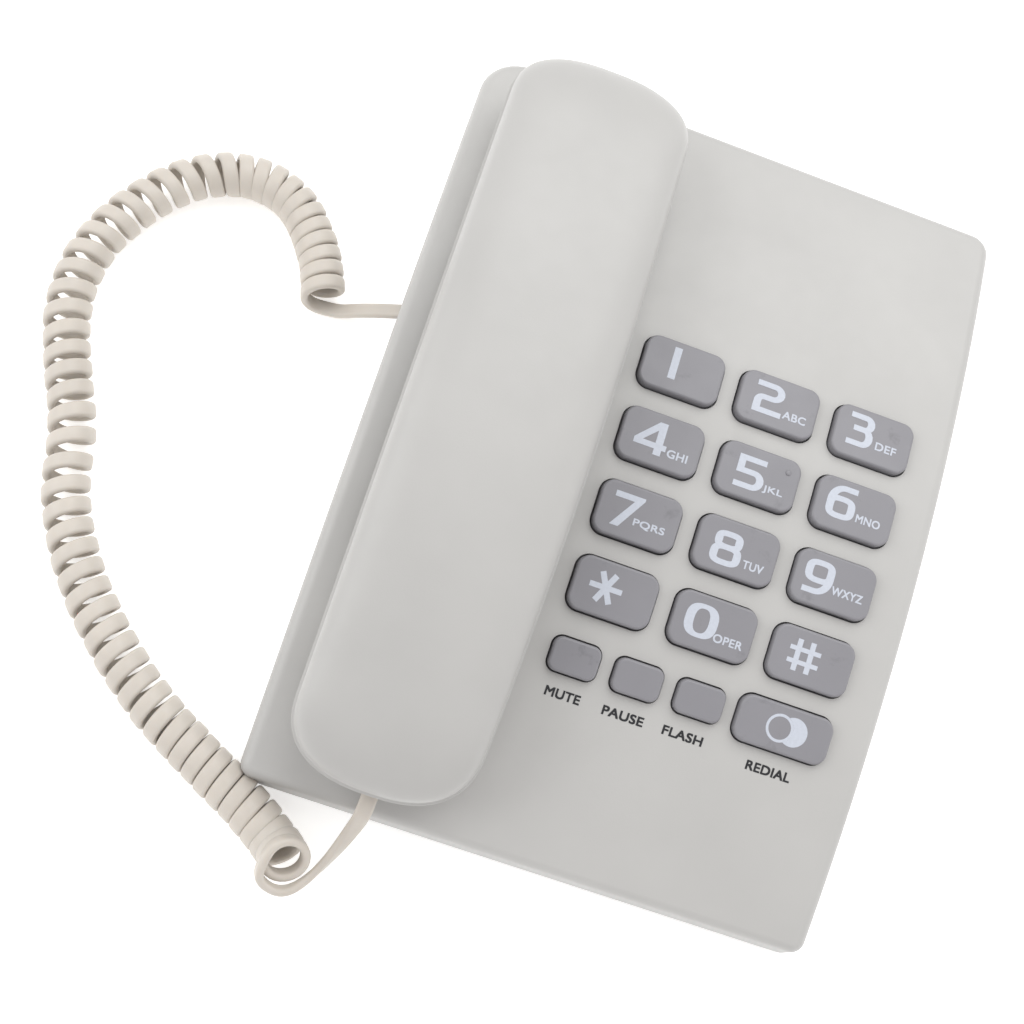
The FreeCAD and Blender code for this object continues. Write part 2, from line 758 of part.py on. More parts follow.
def make_hook_switch():
    """Plunger in the ear pocket, its spring and the switch that it works."""
    post = box("plunger_post", "7", "4.4", "15.2", (-3.5, HOOK_Y - 2.2, -15), ear_frame)
    collar = box("plunger_collar", "11", "8", "1.5", (-5.5, HOOK_Y - 4, -9.2), ear_frame)
    plunger = fuse("plunger", post, collar)
    top = ear_frame * Vector(0, HOOK_Y, 0.2)
    rounded = round_part(
        "plunger_rounded", plunger, lambda edge: (edge_middle(edge) - top).Length < 3.7, 0.8
    )
    keep("hook_plunger", rounded)
    turns = []
    for index in range(5):
        turn = doc.addObject("Part::Torus", "spring_turn_%d" % index)
        turn.Radius1 = 5.2
        turn.Radius2 = 0.35
        turn.Placement = ear_frame * at(0, HOOK_Y, -10.6 - 1.4 * index)
        turns.append(turn)
    keep("hook_spring", group("spring", turns))
    bracket = box("hook_bracket", "22", "16", "2", (-11, HOOK_Y - 8, -18.8), ear_frame)
    passage = box("hook_passage", "7.6", "5", "4", (-3.8, HOOK_Y - 2.5, -20), ear_frame)
    legs = []
    for index, side in enumerate((-11.0, 9.0)):
        low = (side, HOOK_Y - 8, -16.9)
        legs.append(box("hook_leg_%d" % index, "2", "16", "13.7", low, ear_frame))
    keep("hook_bracket", cut("hook_frame", fuse("hook_frame_solid", bracket, *legs), passage))
    switch = box("hook_switch_case", "12", "6", "6", (-6, HOOK_Y - 3, -25), ear_frame)
    lever = box("hook_switch_lever", "10", "3.6", "0.5", (-5, HOOK_Y - 1.8, -18.99 - 0.5), ear_frame)
    keep("hook_switch", fuse("hook_switch_solid", switch, lever))


def make_switches():
    """Two slide switches behind the back wall, with their knobs in the slots."""
    inner = half_depth - size("wall")
    for name, x, reach in (("ringer", RINGER_SWITCH_X, -3.0), ("dial", DIAL_SWITCH_X, -1.5)):
        frame_low = (x - 7.5, inner - 6.2, SWITCH_Z - 4)
        frame = box(name + "_switch_case", "15", "6", "8", frame_low)
        track_low = (x - 6, inner - 2.7, SWITCH_Z - 1.9)
        track = box(name + "_switch_track", "12", "4", "3.8", track_low)
        keep(name + "_switch_body", cut(name + "_switch_hollow", frame, track))
        knob_low = (x + reach - 2, inner - 2.4, SWITCH_Z - 1.6)
        knob = box(name + "_knob_stem", "4", "4.2", "3.2", knob_low)
        grooves = []
        for index in range(3):
            spot = (x + reach - 1.3 + index * 1.0, inner + 1.5, SWITCH_Z - 2)
            grooves.append(box("%s_knob_groove_%d" % (name, index), "0.5", "1", "4", spot))
        keep(name + "_switch_knob", cut(name + "_knob", knob, *grooves))
    rear = box("switch_board_plate", "50", "1.6", "16", (6, inner - 8.0, SWITCH_Z - 8))
    keep("switch_board", rear)


def make_flat_cable():
    """Ribbon of wires from the keypad board down to the main board."""
    width = 16.0
    start = keypad * Vector(23, 46, BOARD_TOP - size("board_thick"))
    level = BOARD_LEVEL + size("board_thick")
    lines = [start, Vector(start.x, start.y + 1.0, start.z - 8.0)]
    lines.append(Vector(start.x, start.y + 7.0, level + 5.0))
    lines.append(Vector(start.x, start.y + 8.0, level))
    spine = []
    for first, second in zip(lines, lines[1:]):
        spine.append(Part.LineSegment(first, second).toShape())
    faces = [edge.extrude(Vector(width, 0, 0)) for edge in spine]
    strips = []
    for face in faces:
        normal = face.Faces[0].normalAt(0, 0)
        strips.append(face.extrude(normal * 0.8))
    cable = doc.addObject("Part::Feature", "cable")
    cable.Shape = strips[0].fuse(strips[1:]).removeSplitter()
    keep("flat_cable", cable)


def make_hanger():
    """Reversible tab that holds the handset when the phone hangs on a wall."""
    plate = box("hanger_plate", "12", "14", "2.8", (-6, -7 + 26, 7.6), cradle)
    nail = box("hanger_nail_slot", "6", "1.2", "1", (-3, -1 + 26, 9.9), cradle)
    keep("handset_hanger", cut("hanger", plate, nail))


make_main_board()
make_ringer()
make_base_weight()
make_hook_switch()
make_switches()
make_flat_cable()
make_hanger()


# ---------------------------------------------------------------- jacks and plugs


PLUG_WIDTH = 7.6
PLUG_HEIGHT = 6.4
PLUG_LENGTH = 11.0
HANDSET_PLUG_END = -95.6
HANDSET_PLUG_HEIGHT = 8.7


def make_jack(name, wide, high, deep, mouth, frame):
    """A modular socket: its mouth faces local -x, round the point mouth."""
    x, y, z = mouth
    left, floor = y - wide / 2, z - high / 2
    case_size = ("%g" % deep, "%g" % (wide + 4), "%g" % (high + 3))
    case = box(name + "_case", *case_size, (x, left - 2, floor - 1.5), frame)
    hollow_size = ("%g" % (deep - 1), "%g" % wide, "%g" % high)
    hollow = box(name + "_hollow", *hollow_size, (x - 0.5, left, floor), frame)
    notch_low = (x - 0.5, y - 1.8, floor - 1.3)
    notch = box(name + "_notch", "%g" % (deep - 4), "3.6", "1.6", notch_low, frame)
    socket = cut(name + "_socket", case, hollow, notch)
    contacts = []
    for index in range(4):
        spot = (x + 2, y - 2.2 + index * 1.27, z + high / 2 - 0.5)
        contacts.append(box("%s_contact_%d" % (name, index), "%g" % (deep - 3), "0.5", "0.6", spot, frame))
    keep(name, fuse(name + "_solid", socket, *contacts))


def make_plug(name, end, frame):
    """A four-way modular plug that enters along local +x; end is the middle of its back."""
    x, y, z = end
    floor = z - PLUG_HEIGHT / 2
    block = ("%g" % PLUG_LENGTH, "%g" % PLUG_WIDTH, "%g" % (PLUG_HEIGHT - 1))
    body = box(name + "_body", *block, (x, y - PLUG_WIDTH / 2, floor + 0.5), frame)
    latch = box(name + "_latch", "8", "3", "1.4", (x + 1.0, y - 1.5, floor - 0.6), frame)
    keep(name, fuse(name + "_solid", body, latch))


jack_frame = at(-half_width, JACK_Y, JACK_Z)
make_jack("handset_cord_jack", 9.4, 7.6, 14.0, (size("wall") + 0.1, 0, 0), jack_frame)
make_plug("base_plug", (0.4, 0, 0), jack_frame)
line_frame = Placement(Vector(LINE_JACK_X, half_depth, SWITCH_Z), Rotation(Vector(0, 0, 1), -90))
make_jack("line_jack", 11.0, 8.6, 15.0, (size("wall") + 0.1, 0, 0), line_frame)


# ---------------------------------------------------------------- handset


half_handset = size("handset_length") / 2
handset_frame = cradle * at(0, HANDSET_SHIFT, 0)
RIM_CENTRE = face_sagitta + size("rim_gap")
RIM_END = 16.0
TOP_CENTRE = RIM_CENTRE + size("crown_height")
TOP_END = 25.0
CUP_BOTTOM = 0.6
END_ZONE = 40.0


def arc_radius(centre_height, end_height, half_span):
    rise = centre_height - end_height
    return (half_span**2 + rise**2) / (2 * rise)


def arc_cylinder(name, radius, crest, frame):
    """A cylinder along local x whose crest lies at a height in the frame."""
    made = doc.addObject("Part::Cylinder", name)
    made.Radius = radius
    bind(made, "Height", "handset_width + 40")
    lying = Rotation(Vector(0, 1, 0), 90)
    span = size("handset_width") + 40
    made.Placement = frame * Placement(Vector(-span / 2, 0, crest - radius), lying)
    return made


def handset_outline(name, inset, low, height):
    body = slab(
        name,
        "handset_width - %g" % (2 * inset),
        "handset_length - %g" % (2 * inset),
        "handset_corner - %g" % inset,
        "%g" % height,
        low=low,
        numbers=(
            size("handset_width") - 2 * inset,
            size("handset_length") - 2 * inset,
            size("handset_corner") - inset,
            size("handset_corner") - inset,
        ),
    )
    body.Placement = handset_frame
    return body


HANDSET_SCREWS = (-34.0, 34.0)
HANDSET_SCREW_SEAT = 21.2
rim_radius = arc_radius(RIM_CENTRE, RIM_END, half_handset)
top_radius = arc_radius(TOP_CENTRE, TOP_END, half_handset)


def rim_tool(name, offset=0.0):
    return arc_cylinder(name, rim_radius + offset, RIM_CENTRE + offset, handset_frame)


def top_tool(name, offset=0.0):
    return arc_cylinder(name, top_radius + offset, TOP_CENTRE + offset, handset_frame)


def under_tool(name, gap):
    """The case's own face raised by a gap: the underside of the handset follows it."""
    return arc_cylinder(name, face_radius + gap, face_sagitta + gap, cradle)


def on_crown(offset):
    """A test for the edges where the crown, moved by an offset, meets the handset's sides."""
    back = handset_frame.inverse()
    radius = top_radius + offset

    def test(edge):
        for spot in (edge.ParameterRange[0], sum(edge.ParameterRange) / 2, edge.ParameterRange[1]):
            point = back * edge.valueAt(spot)
            if abs(math.hypot(point.y, point.z - TOP_CENTRE + top_radius) - radius) > 0.02:
                return False
        return True

    return test


def make_outer_shell():
    wall = size("shell_wall")
    lump = common("crown_lump", handset_outline("crown_outline", 0, 5, 60), top_tool("crown_top"))
    solid = cut("crown_solid", lump, rim_tool("crown_rim"))
    skin = round_part("crown_rounded", solid, on_crown(0), size("crown_edge"))
    inner_top = top_tool("crown_inner_top", -wall)
    room = common("crown_room", handset_outline("crown_inner", wall, 0, 60), inner_top)
    hollow = round_part("crown_room_rounded", room, on_crown(-wall), size("crown_edge") - wall)
    posts = []
    bores = []
    for index, y in enumerate(HANDSET_SCREWS):
        posts.append(rod("crown_post_%d" % index, "3.4", "30", (0, y, 24.1), cradle))
        bores.append(rod("crown_bore_%d" % index, "screw_radius + 0.02", "10.4", (0, y, 23), cradle))
    inside = common("crown_posts", fuse("crown_post_set", *posts), skin)
    filled = fuse("crown_filled", cut("crown_shell", skin, hollow), inside)
    keep("handset_outer_shell", cut("outer_shell", filled, *bores))


def cup_block(name, inset, low, height, frame):
    body = slab(
        name,
        "cup_width - %g" % (2 * inset),
        "cup_length - %g" % (2 * inset),
        "cup_corner - %g" % inset,
        "%g" % height,
        low=low,
        numbers=(
            size("cup_width") - 2 * inset,
            size("cup_length") - 2 * inset,
            size("cup_corner") - inset,
            size("cup_corner") - inset,
        ),
    )
    if inset == 0:
        round_body(body, lambda edge: abs(edge_middle(edge).z - low) < 1e-4, "2.5")
    body.Placement = frame
    return body


def layer(name, inset, gap, low_y, high_y):
    """The handset's plan between two stations, above the raised face."""
    outline = handset_outline(name + "_outline", inset, 0, 60)
    above = cut(name + "_above", outline, under_tool(name + "_under", gap))
    span = box(name + "_span", "120", "%g" % (high_y - low_y), "120", (-60, low_y, -20), cradle)
    return common(name, above, span)


def make_inner_shell():
    """Grip, two ends and two cups, joined and hollowed."""
    far = 120.0
    solids = []
    hollows = []
    for name, gap, low_y, high_y in (
        ("grip", size("grip_gap"), -far, far),
        ("mouth_end", size("end_gap"), -far, -END_ZONE),
        ("ear_end", size("end_gap"), END_ZONE, far),
    ):
        solids.append(layer(name + "_outside", 1.0, gap, low_y, high_y))
        wall = size("shell_wall")
        inner_low = low_y + (wall if name == "ear_end" else 0)
        inner_high = high_y - (wall if name == "mouth_end" else 0)
        hollows.append(layer(name + "_inside", 1.0 + wall, gap + wall, inner_low, inner_high))
    for name, frame in (("ear_cup", ear_frame), ("mouth_cup", mouth_frame)):
        solids.append(cup_block(name + "_outside", 0.0, CUP_BOTTOM, 18, frame))
        hollows.append(cup_block(name + "_inside", 2.0, CUP_BOTTOM + 2.0, 20, frame))
    outside = common("inner_outside", fuse("inner_solids", *solids), rim_tool("inner_rim"))
    bosses = []
    tools = []
    for frame, name, rings in (
        (ear_frame, "ear_hole", ((0.0, 1), (3.6, 6), (7.2, 12))),
        (mouth_frame, "mouth_hole", ((0.0, 1), (3.0, 4))),
    ):
        for ring, (radius, count) in enumerate(rings):
            for index in range(count):
                turn = 2 * math.pi * index / count
                spot = (radius * math.cos(turn), radius * math.sin(turn), CUP_BOTTOM - 1)
                tools.append(rod("%s_%d_%d" % (name, ring, index), "0.8", "4", spot, frame))
    for index, y in enumerate(HANDSET_SCREWS):
        bosses.append(rod("handset_boss_%d" % index, "4.2", "4.6", (0, y, 19.4), cradle))
        spot = (0, y, -5)
        sink = "%g" % (5 + HANDSET_SCREW_SEAT)
        tools.append(rod("handset_screw_hole_%d" % index, "1.5", "40", spot, cradle))
        tools.append(rod("handset_screw_sink_%d" % index, "2.9", sink, spot, cradle))
    tools.append(box("handset_jack_opening", "9", "12", "9.2", (-5, -6, -4.6), plug_frame))
    bossed = fuse("inner_bossed", cut("inner_hollowed", outside, *hollows), *bosses)
    keep("handset_inner_shell", cut("inner_shell", bossed, *tools))


def find_plug_frame():
    """Local x runs into the handset's end, along the slope of the case below it."""
    middle = HANDSET_PLUG_END + 8.0
    slope = -math.degrees(math.asin(middle / face_radius))
    level = math.sqrt(face_radius**2 - HANDSET_PLUG_END**2) - face_radius + face_sagitta
    seat = Placement(
        Vector(0, HANDSET_PLUG_END, level + HANDSET_PLUG_HEIGHT), Rotation(Vector(1, 0, 0), slope)
    )
    return cradle * seat * Placement(Vector(), Rotation(Vector(0, 0, 1), 90))


plug_frame = find_plug_frame()


def make_handset_insides():
    receiver = rod("receiver_can", "14", "7", (0, 0, CUP_BOTTOM + 3.4), ear_frame)
    magnet = rod("receiver_magnet", "8", "4", (0, 0, CUP_BOTTOM + 10.3), ear_frame)
    keep("receiver_capsule", fuse("receiver", receiver, magnet))
    seal = rod("receiver_seal_outer", "14", "1.4", (0, 0, CUP_BOTTOM + 2), ear_frame)
    bore = rod("receiver_seal_bore", "10", "4", (0, 0, CUP_BOTTOM + 1), ear_frame)
    keep("receiver_gasket", cut("receiver_seal", seal, bore))
    can = rod("microphone_can", "4.85", "6.5", (0, 0, CUP_BOTTOM + 3.0), mouth_frame)
    keep("microphone_capsule", can)
    boot = rod("microphone_boot_outer", "6.6", "6.5", (0, 0, CUP_BOTTOM + 2), mouth_frame)
    seat = rod("microphone_boot_seat", "4.85", "8", (0, 0, CUP_BOTTOM + 3.0), mouth_frame)
    port = rod("microphone_boot_port", "3.6", "4", (0, 0, CUP_BOTTOM + 1), mouth_frame)
    keep("microphone_boot", cut("microphone_rubber", boot, seat, port))
    ballast = box("handset_ballast", "18", "46", "6", (-9, -23, 22.5), cradle)
    keep("handset_weight", ballast)
    screws = []
    for index, y in enumerate(HANDSET_SCREWS):
        head = rod("handset_screw_head_%d" % index, "2.6", "1.6", (0, y, HANDSET_SCREW_SEAT - 1.6), cradle)
        shank = rod("handset_screw_shank_%d" % index, "1.3", "11", (0, y, HANDSET_SCREW_SEAT - 0.1), cradle)
        screws.append(fuse("handset_screw_%d" % index, head, shank))
    keep("handset_screws", group("handset_screw_set", screws))


make_outer_shell()
make_inner_shell()
make_handset_insides()
make_jack("handset_jack", 9.4, 7.6, 13.0, (3.2, 0, 0), plug_frame)
make_plug("handset_plug", (0, 0, 0), plug_frame)


# ---------------------------------------------------------------- curly cord


COIL_ROUTE = (
    (-97.6, 34.0, 6.5),
    (-104.4, 47.1, 6.5),
    (-113.5, 58.2, 6.5),
    (-128.0, 60.4, 6.5),
    (-142.2, 53.4, 6.5),
    (-153.6, 39.6, 6.5),
    (-159.8, 22.6, 6.5),
    (-159.2, 4.4, 6.5),
    (-151.6, -14.0, 6.5),
    (-143.4, -31.0, 6.5),
    (-138.6, -48.4, 6.5),
    (-129.4, -64.8, 6.5),
    (-114.6, -79.6, 6.5),
    (-97.4, -92.4, 6.5),
    (-86.6, -99.8, 6.5),
    (-77.4, -105.6, 6.5),
    (-66.8, -109.8, 6.7),
    (-58.0, -114.8, 7.6),
)
BASE_LEAD = (
    (-half_width + 0.4, JACK_Y, JACK_Z),
    (-81.6, JACK_Y, JACK_Z),
    (-88.2, 31.4, 9.6),
    (-93.6, 29.6, 6.8),
    (-98.0, 31.4, 5.6),
    (-99.8, 35.8, 5.6),
)
HANDSET_LEAD_GAP = 0.3


def arc_path(points):
    """Straight runs joined by tangent arcs; returns the wire and the arcs' radii."""
    spots = [Vector(*point) for point in points]
    edges = []
    radii = []
    start = spots[0]
    for before, here, after in zip(spots, spots[1:], spots[2:]):
        run_in = here - before
        run_out = after - here
        turn = run_in.getAngle(run_out)
        shorter = min(run_in.Length, run_out.Length)
        trim = 0.45 * shorter
        radius = trim / math.tan(turn / 2)
        radii.append(radius)
        toward = Vector(run_in).normalize()
        away = Vector(run_out).normalize()
        first = here - toward * trim
        last = here + away * trim
        inward = (away - toward).normalize()
        depth = radius / math.cos(turn / 2) - radius
        middle = here + inward * depth
        edges.append(Part.LineSegment(start, first).toShape())
        edges.append(Part.Arc(first, middle, last).toShape())
        start = last
    edges.append(Part.LineSegment(start, spots[-1]).toShape())
    return Part.Wire(edges), radii


def make_tube(label, points, radius):
    wire, radii = arc_path(points)
    start = Vector(*points[0])
    heading = (Vector(*points[1]) - start).normalize()
    ring = Part.Wire([Part.makeCircle(radius, start, heading)])
    tube = doc.addObject("Part::Feature", label + "_tube")
    tube.Shape = wire.makePipeShell([ring], True, False)
    expected = math.pi * radius**2 * wire.Length
    smallest = min(radii)
    print("%s: length %.1f, smallest bend %.1f, volume %.4f of section times length" % (
        label, wire.Length, smallest, tube.Shape.Volume / expected))
    print("  radii " + " ".join("%.1f" % radius for radius in radii))
    keep(label, tube)


def handset_lead_points():
    """The lead starts in front of the plug and ends in the side of the coil's last turn."""
    start = plug_frame * Vector(-HANDSET_LEAD_GAP, 0, 0)
    ahead = plug_frame * Vector(-7.0, 0, 0)
    route = [tuple(start), tuple(ahead)]
    route += [(-43.6, -109.6, 13.6), (-46.2, -115.4, 7.4), (-50.6, -120.4, 4.0)]
    route += [(-56.4, -122.6, 3.0), (-61.2, -120.0, 3.6), (-62.4, -115.6, 5.4)]
    return route


make_tube("cord_coil", COIL_ROUTE, size("coil_radius"))
make_tube("cord_base_lead", BASE_LEAD, size("lead_radius"))
make_tube("cord_handset_lead", handset_lead_points(), size("lead_radius"))


# ---------------------------------------------------------------- checks and export


def check_document():
    doc.recompute()
    for item in doc.Objects:
        if "Invalid" in item.State or "Error" in item.State:
            raise RuntimeError("failed object: " + item.Name)
    for label, item in parts.items():
        shape = item.Shape
        if shape.isNull() or not shape.isValid() or shape.Volume <= 0:
            raise RuntimeError("bad shape: " + label)


check_document()
os.makedirs("parts", exist_ok=True)
for label, item in parts.items():
    item.Shape.exportStep("parts/%s.step" % label)
print("%d sub-parts" % len(parts))
print("face radius %.3f axis y %.3f z %.3f chord tilt %.4f deg" % (
    face_radius, axis_y, axis_z, math.degrees(chord_tilt)))
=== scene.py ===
import math

import bmesh
import bpy
import numpy as np
from mathutils import Matrix, Vector


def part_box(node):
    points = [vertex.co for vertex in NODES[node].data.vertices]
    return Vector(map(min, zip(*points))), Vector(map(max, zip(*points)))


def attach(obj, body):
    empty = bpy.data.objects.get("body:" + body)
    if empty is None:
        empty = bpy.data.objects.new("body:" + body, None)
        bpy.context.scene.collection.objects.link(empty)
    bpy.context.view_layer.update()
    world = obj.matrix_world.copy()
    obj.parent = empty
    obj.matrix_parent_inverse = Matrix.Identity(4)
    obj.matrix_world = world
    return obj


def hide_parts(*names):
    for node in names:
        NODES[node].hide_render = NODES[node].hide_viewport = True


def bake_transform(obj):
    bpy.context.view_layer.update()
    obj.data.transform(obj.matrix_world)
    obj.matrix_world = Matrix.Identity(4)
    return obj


# The looks of a corded desk telephone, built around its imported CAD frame.  Metres, +Z up,
# +Y towards the back of the case, +X to the right of a person who dials on it.  Tables of
# shapes are in millimetres.

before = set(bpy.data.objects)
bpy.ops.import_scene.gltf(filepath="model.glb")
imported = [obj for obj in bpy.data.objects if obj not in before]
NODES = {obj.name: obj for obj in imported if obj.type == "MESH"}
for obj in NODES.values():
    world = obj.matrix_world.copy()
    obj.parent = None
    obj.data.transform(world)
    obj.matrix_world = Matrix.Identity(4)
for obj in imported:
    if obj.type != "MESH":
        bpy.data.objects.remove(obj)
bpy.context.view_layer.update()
MM = 0.001
UP = Vector((0, 0, 1))


# ---------------------------------------------------------------- camera, floor and light


CAMERA_PLACE = (-0.0622, -0.1462, 0.3612)
CAMERA_RIGHT = (0.9406, 0.2778, 0.1954)
CAMERA_UP = (-0.3280, 0.8922, 0.3105)
CAMERA_LENS = 49.22
WORLD_COLOUR, WORLD_STRENGTH = (1.0, 0.98, 0.98, 1), 0.69
LAMP_COLOUR = (0.985, 1.0, 0.99)
# each lamp's place, width and power; all of them face the origin
LAMPS = {
    "top_light": ((0.1, 0.5, 1.0), 0.9, 6.2),
    "left_light": ((-0.9, -0.1, 0.7), 0.8, 3.8),
    "right_light": ((0.95, 0.1, 0.6), 0.7, 1.8),
}
# the floor is a square sheet, this far out to each side, that glows as if lit from below
FLOOR_REACH = 3.0
FLOOR_GLOW = 0.42


def make_camera():
    right = Vector(CAMERA_RIGHT).normalized()
    back = right.cross(Vector(CAMERA_UP)).normalized()
    upward = back.cross(right)
    data = bpy.data.cameras.new("camera")
    data.lens = CAMERA_LENS
    data.sensor_width = 36.0
    camera = bpy.data.objects.new("camera", data)
    turn = Matrix((right, upward, back)).transposed().to_4x4()
    camera.matrix_world = Matrix.Translation(CAMERA_PLACE) @ turn
    bpy.context.scene.collection.objects.link(camera)
    bpy.context.scene.camera = camera


def area_light(name, place, width, power):
    data = bpy.data.lights.new(name, "AREA")
    data.shape = "SQUARE"
    data.size = width
    data.energy = power
    data.color = LAMP_COLOUR
    light = bpy.data.objects.new(name, data)
    light.location = place
    light.rotation_euler = (-Vector(place)).to_track_quat("-Z", "Y").to_euler()
    bpy.context.scene.collection.objects.link(light)


def make_studio():
    world = bpy.data.worlds.new("studio")
    world.use_nodes = True
    background = world.node_tree.nodes["Background"]
    background.inputs["Color"].default_value = WORLD_COLOUR
    background.inputs["Strength"].default_value = WORLD_STRENGTH
    bpy.context.scene.world = world
    bpy.context.scene.view_settings.view_transform = "Standard"
    for name, (place, width, power) in LAMPS.items():
        area_light(name, place, width, power)
    mesh = bpy.data.meshes.new("floor")
    reach = FLOOR_REACH
    corners = [(-reach, -reach, 0), (reach, -reach, 0), (reach, reach, 0), (-reach, reach, 0)]
    mesh.from_pydata(corners, [], [(0, 1, 2, 3)])
    floor = bpy.data.objects.new("floor", mesh)
    bpy.context.scene.collection.objects.link(floor)
    floor.data.materials.append(floor_material())


# ---------------------------------------------------------------- materials


def new_material(name):
    material = bpy.data.materials.new(name)
    material.use_nodes = True
    tree = material.node_tree
    return material, tree, tree.nodes["Principled BSDF"]


def node(tree, kind, **settings):
    made = tree.nodes.new(kind)
    for key, value in settings.items():
        setattr(made, key, value)
    return made


def place_in_object(tree, stretch=(1, 1, 1)):
    """Texture space in the object's own metres, stretched."""
    where = node(tree, "ShaderNodeTexCoord")
    mapping = node(tree, "ShaderNodeMapping")
    mapping.inputs["Scale"].default_value = stretch
    tree.links.new(where.outputs["Object"], mapping.inputs["Vector"])
    return mapping.outputs["Vector"]


def noise(tree, space, scale, detail=2.0, rough=0.5):
    made = node(tree, "ShaderNodeTexNoise")
    made.inputs["Scale"].default_value = scale
    made.inputs["Detail"].default_value = detail
    made.inputs["Roughness"].default_value = rough
    tree.links.new(space, made.inputs["Vector"])
    return made.outputs["Fac"]


def spread(tree, value, low, high, start=0.3, end=0.7):
    """A noise value mapped to a range."""
    made = node(tree, "ShaderNodeMapRange")
    made.inputs["From Min"].default_value = start
    made.inputs["From Max"].default_value = end
    made.inputs["To Min"].default_value = low
    made.inputs["To Max"].default_value = high
    tree.links.new(value, made.inputs["Value"])
    return made.outputs["Result"]


def tint(tree, value, first, second):
    """Two colours mixed by a value."""
    made = node(tree, "ShaderNodeMix", data_type="RGBA")
    made.inputs["A"].default_value = (*first, 1)
    made.inputs["B"].default_value = (*second, 1)
    tree.links.new(value, made.inputs["Factor"])
    return made.outputs["Result"]


def bump(tree, shader, height, strength, distance):
    made = node(tree, "ShaderNodeBump")
    made.inputs["Strength"].default_value = strength
    made.inputs["Distance"].default_value = distance
    tree.links.new(height, made.inputs["Height"])
    tree.links.new(made.outputs["Normal"], shader.inputs["Normal"])


def linear(red, green, blue):
    """A display colour of 0 to 255 as linear light."""
    out = []
    for value in (red, green, blue):
        share = value / 255
        out.append(share / 12.92 if share <= 0.04045 else ((share + 0.055) / 1.055) ** 2.4)
    return tuple(out)


def scaled(colour, factor):
    return tuple(min(1.0, value * factor) for value in colour)


def plastic(name, colour, rough=0.42, grain=2600, blotch=0.025, grime=0.0):
    """Moulded plastic: spark-eroded grain, faint flow marks, an uneven sheen and smudges."""
    material, tree, shader = new_material(name)
    space = place_in_object(tree)
    cloud = spread(tree, noise(tree, space, scale=38, detail=3.0), 0, 1)
    shade = tint(tree, cloud, scaled(colour, 1 - blotch), scaled(colour, 1 + blotch))
    if grime:
        spots = noise(tree, space, scale=130, detail=6.0, rough=0.65)
        cover = spread(tree, spots, 0, grime, start=0.6, end=0.72)
        smudge = node(tree, "ShaderNodeMix", data_type="RGBA")
        smudge.inputs["B"].default_value = (*scaled(colour, 0.45), 1)
        tree.links.new(cover, smudge.inputs["Factor"])
        tree.links.new(shade, smudge.inputs["A"])
        shade = smudge.outputs["Result"]
    tree.links.new(shade, shader.inputs["Base Color"])
    sheen = spread(tree, noise(tree, space, scale=210, detail=4.0), rough - 0.05, rough + 0.06)
    tree.links.new(sheen, shader.inputs["Roughness"])
    shader.inputs["Specular IOR Level"].default_value = 0.45
    relief = noise(tree, space, scale=grain, detail=2.0, rough=0.6)
    bump(tree, shader, relief, strength=0.35, distance=0.05 * MM)
    return material


def floor_material():
    material, tree, shader = new_material("floor_paper")
    space = place_in_object(tree)
    cloud = noise(tree, space, scale=9, detail=2.0)
    shade = tint(tree, cloud, (0.93, 0.93, 0.925), (0.95, 0.95, 0.945))
    tree.links.new(shade, shader.inputs["Base Color"])
    shader.inputs["Roughness"].default_value = 0.9
    shader.inputs["Specular IOR Level"].default_value = 0.1
    shader.inputs["Emission Color"].default_value = (1, 1, 1, 1)
    shader.inputs["Emission Strength"].default_value = FLOOR_GLOW
    return material


def vinyl(name, colour):
    """Soft jacket of the cord: fine drawn lines and a waxy sheen."""
    material, tree, shader = new_material(name)
    space = place_in_object(tree)
    cloud = spread(tree, noise(tree, space, scale=120, detail=3.0), 0, 1)
    shade = tint(tree, cloud, scaled(colour, 0.965), scaled(colour, 1.02))
    tree.links.new(shade, shader.inputs["Base Color"])
    sheen = spread(tree, noise(tree, space, scale=600, detail=3.0), 0.36, 0.5)
    tree.links.new(sheen, shader.inputs["Roughness"])
    shader.inputs["Specular IOR Level"].default_value = 0.4
    shader.inputs["Subsurface Weight"].default_value = 0.12
    shader.inputs["Subsurface Radius"].default_value = (1.0, 0.75, 0.5)
    shader.inputs["Subsurface Scale"].default_value = 1.2 * MM
    relief = noise(tree, space, scale=900, detail=3.0)
    bump(tree, shader, relief, strength=0.25, distance=0.05 * MM)
    return material


def ink(name, colour):
    """Screen-printed ink with slightly uneven cover."""
    material, tree, shader = new_material(name)
    space = place_in_object(tree)
    cover = spread(tree, noise(tree, space, scale=1500, detail=4.0), 0, 1)
    shade = tint(tree, cover, scaled(colour, 0.93), colour)
    tree.links.new(shade, shader.inputs["Base Color"])
    shader.inputs["Roughness"].default_value = 0.5
    relief = noise(tree, space, scale=3500, detail=2.0)
    bump(tree, shader, relief, strength=0.2, distance=0.01 * MM)
    return material


def rubber(name, colour):
    material, tree, shader = new_material(name)
    space = place_in_object(tree)
    dust = spread(tree, noise(tree, space, scale=300, detail=5.0), 0, 1, start=0.45, end=0.8)
    shade = tint(tree, dust, colour, scaled(colour, 1.8))
    tree.links.new(shade, shader.inputs["Base Color"])
    shader.inputs["Roughness"].default_value = 0.82
    relief = noise(tree, space, scale=1800, detail=3.0)
    bump(tree, shader, relief, strength=0.5, distance=0.08 * MM)
    return material


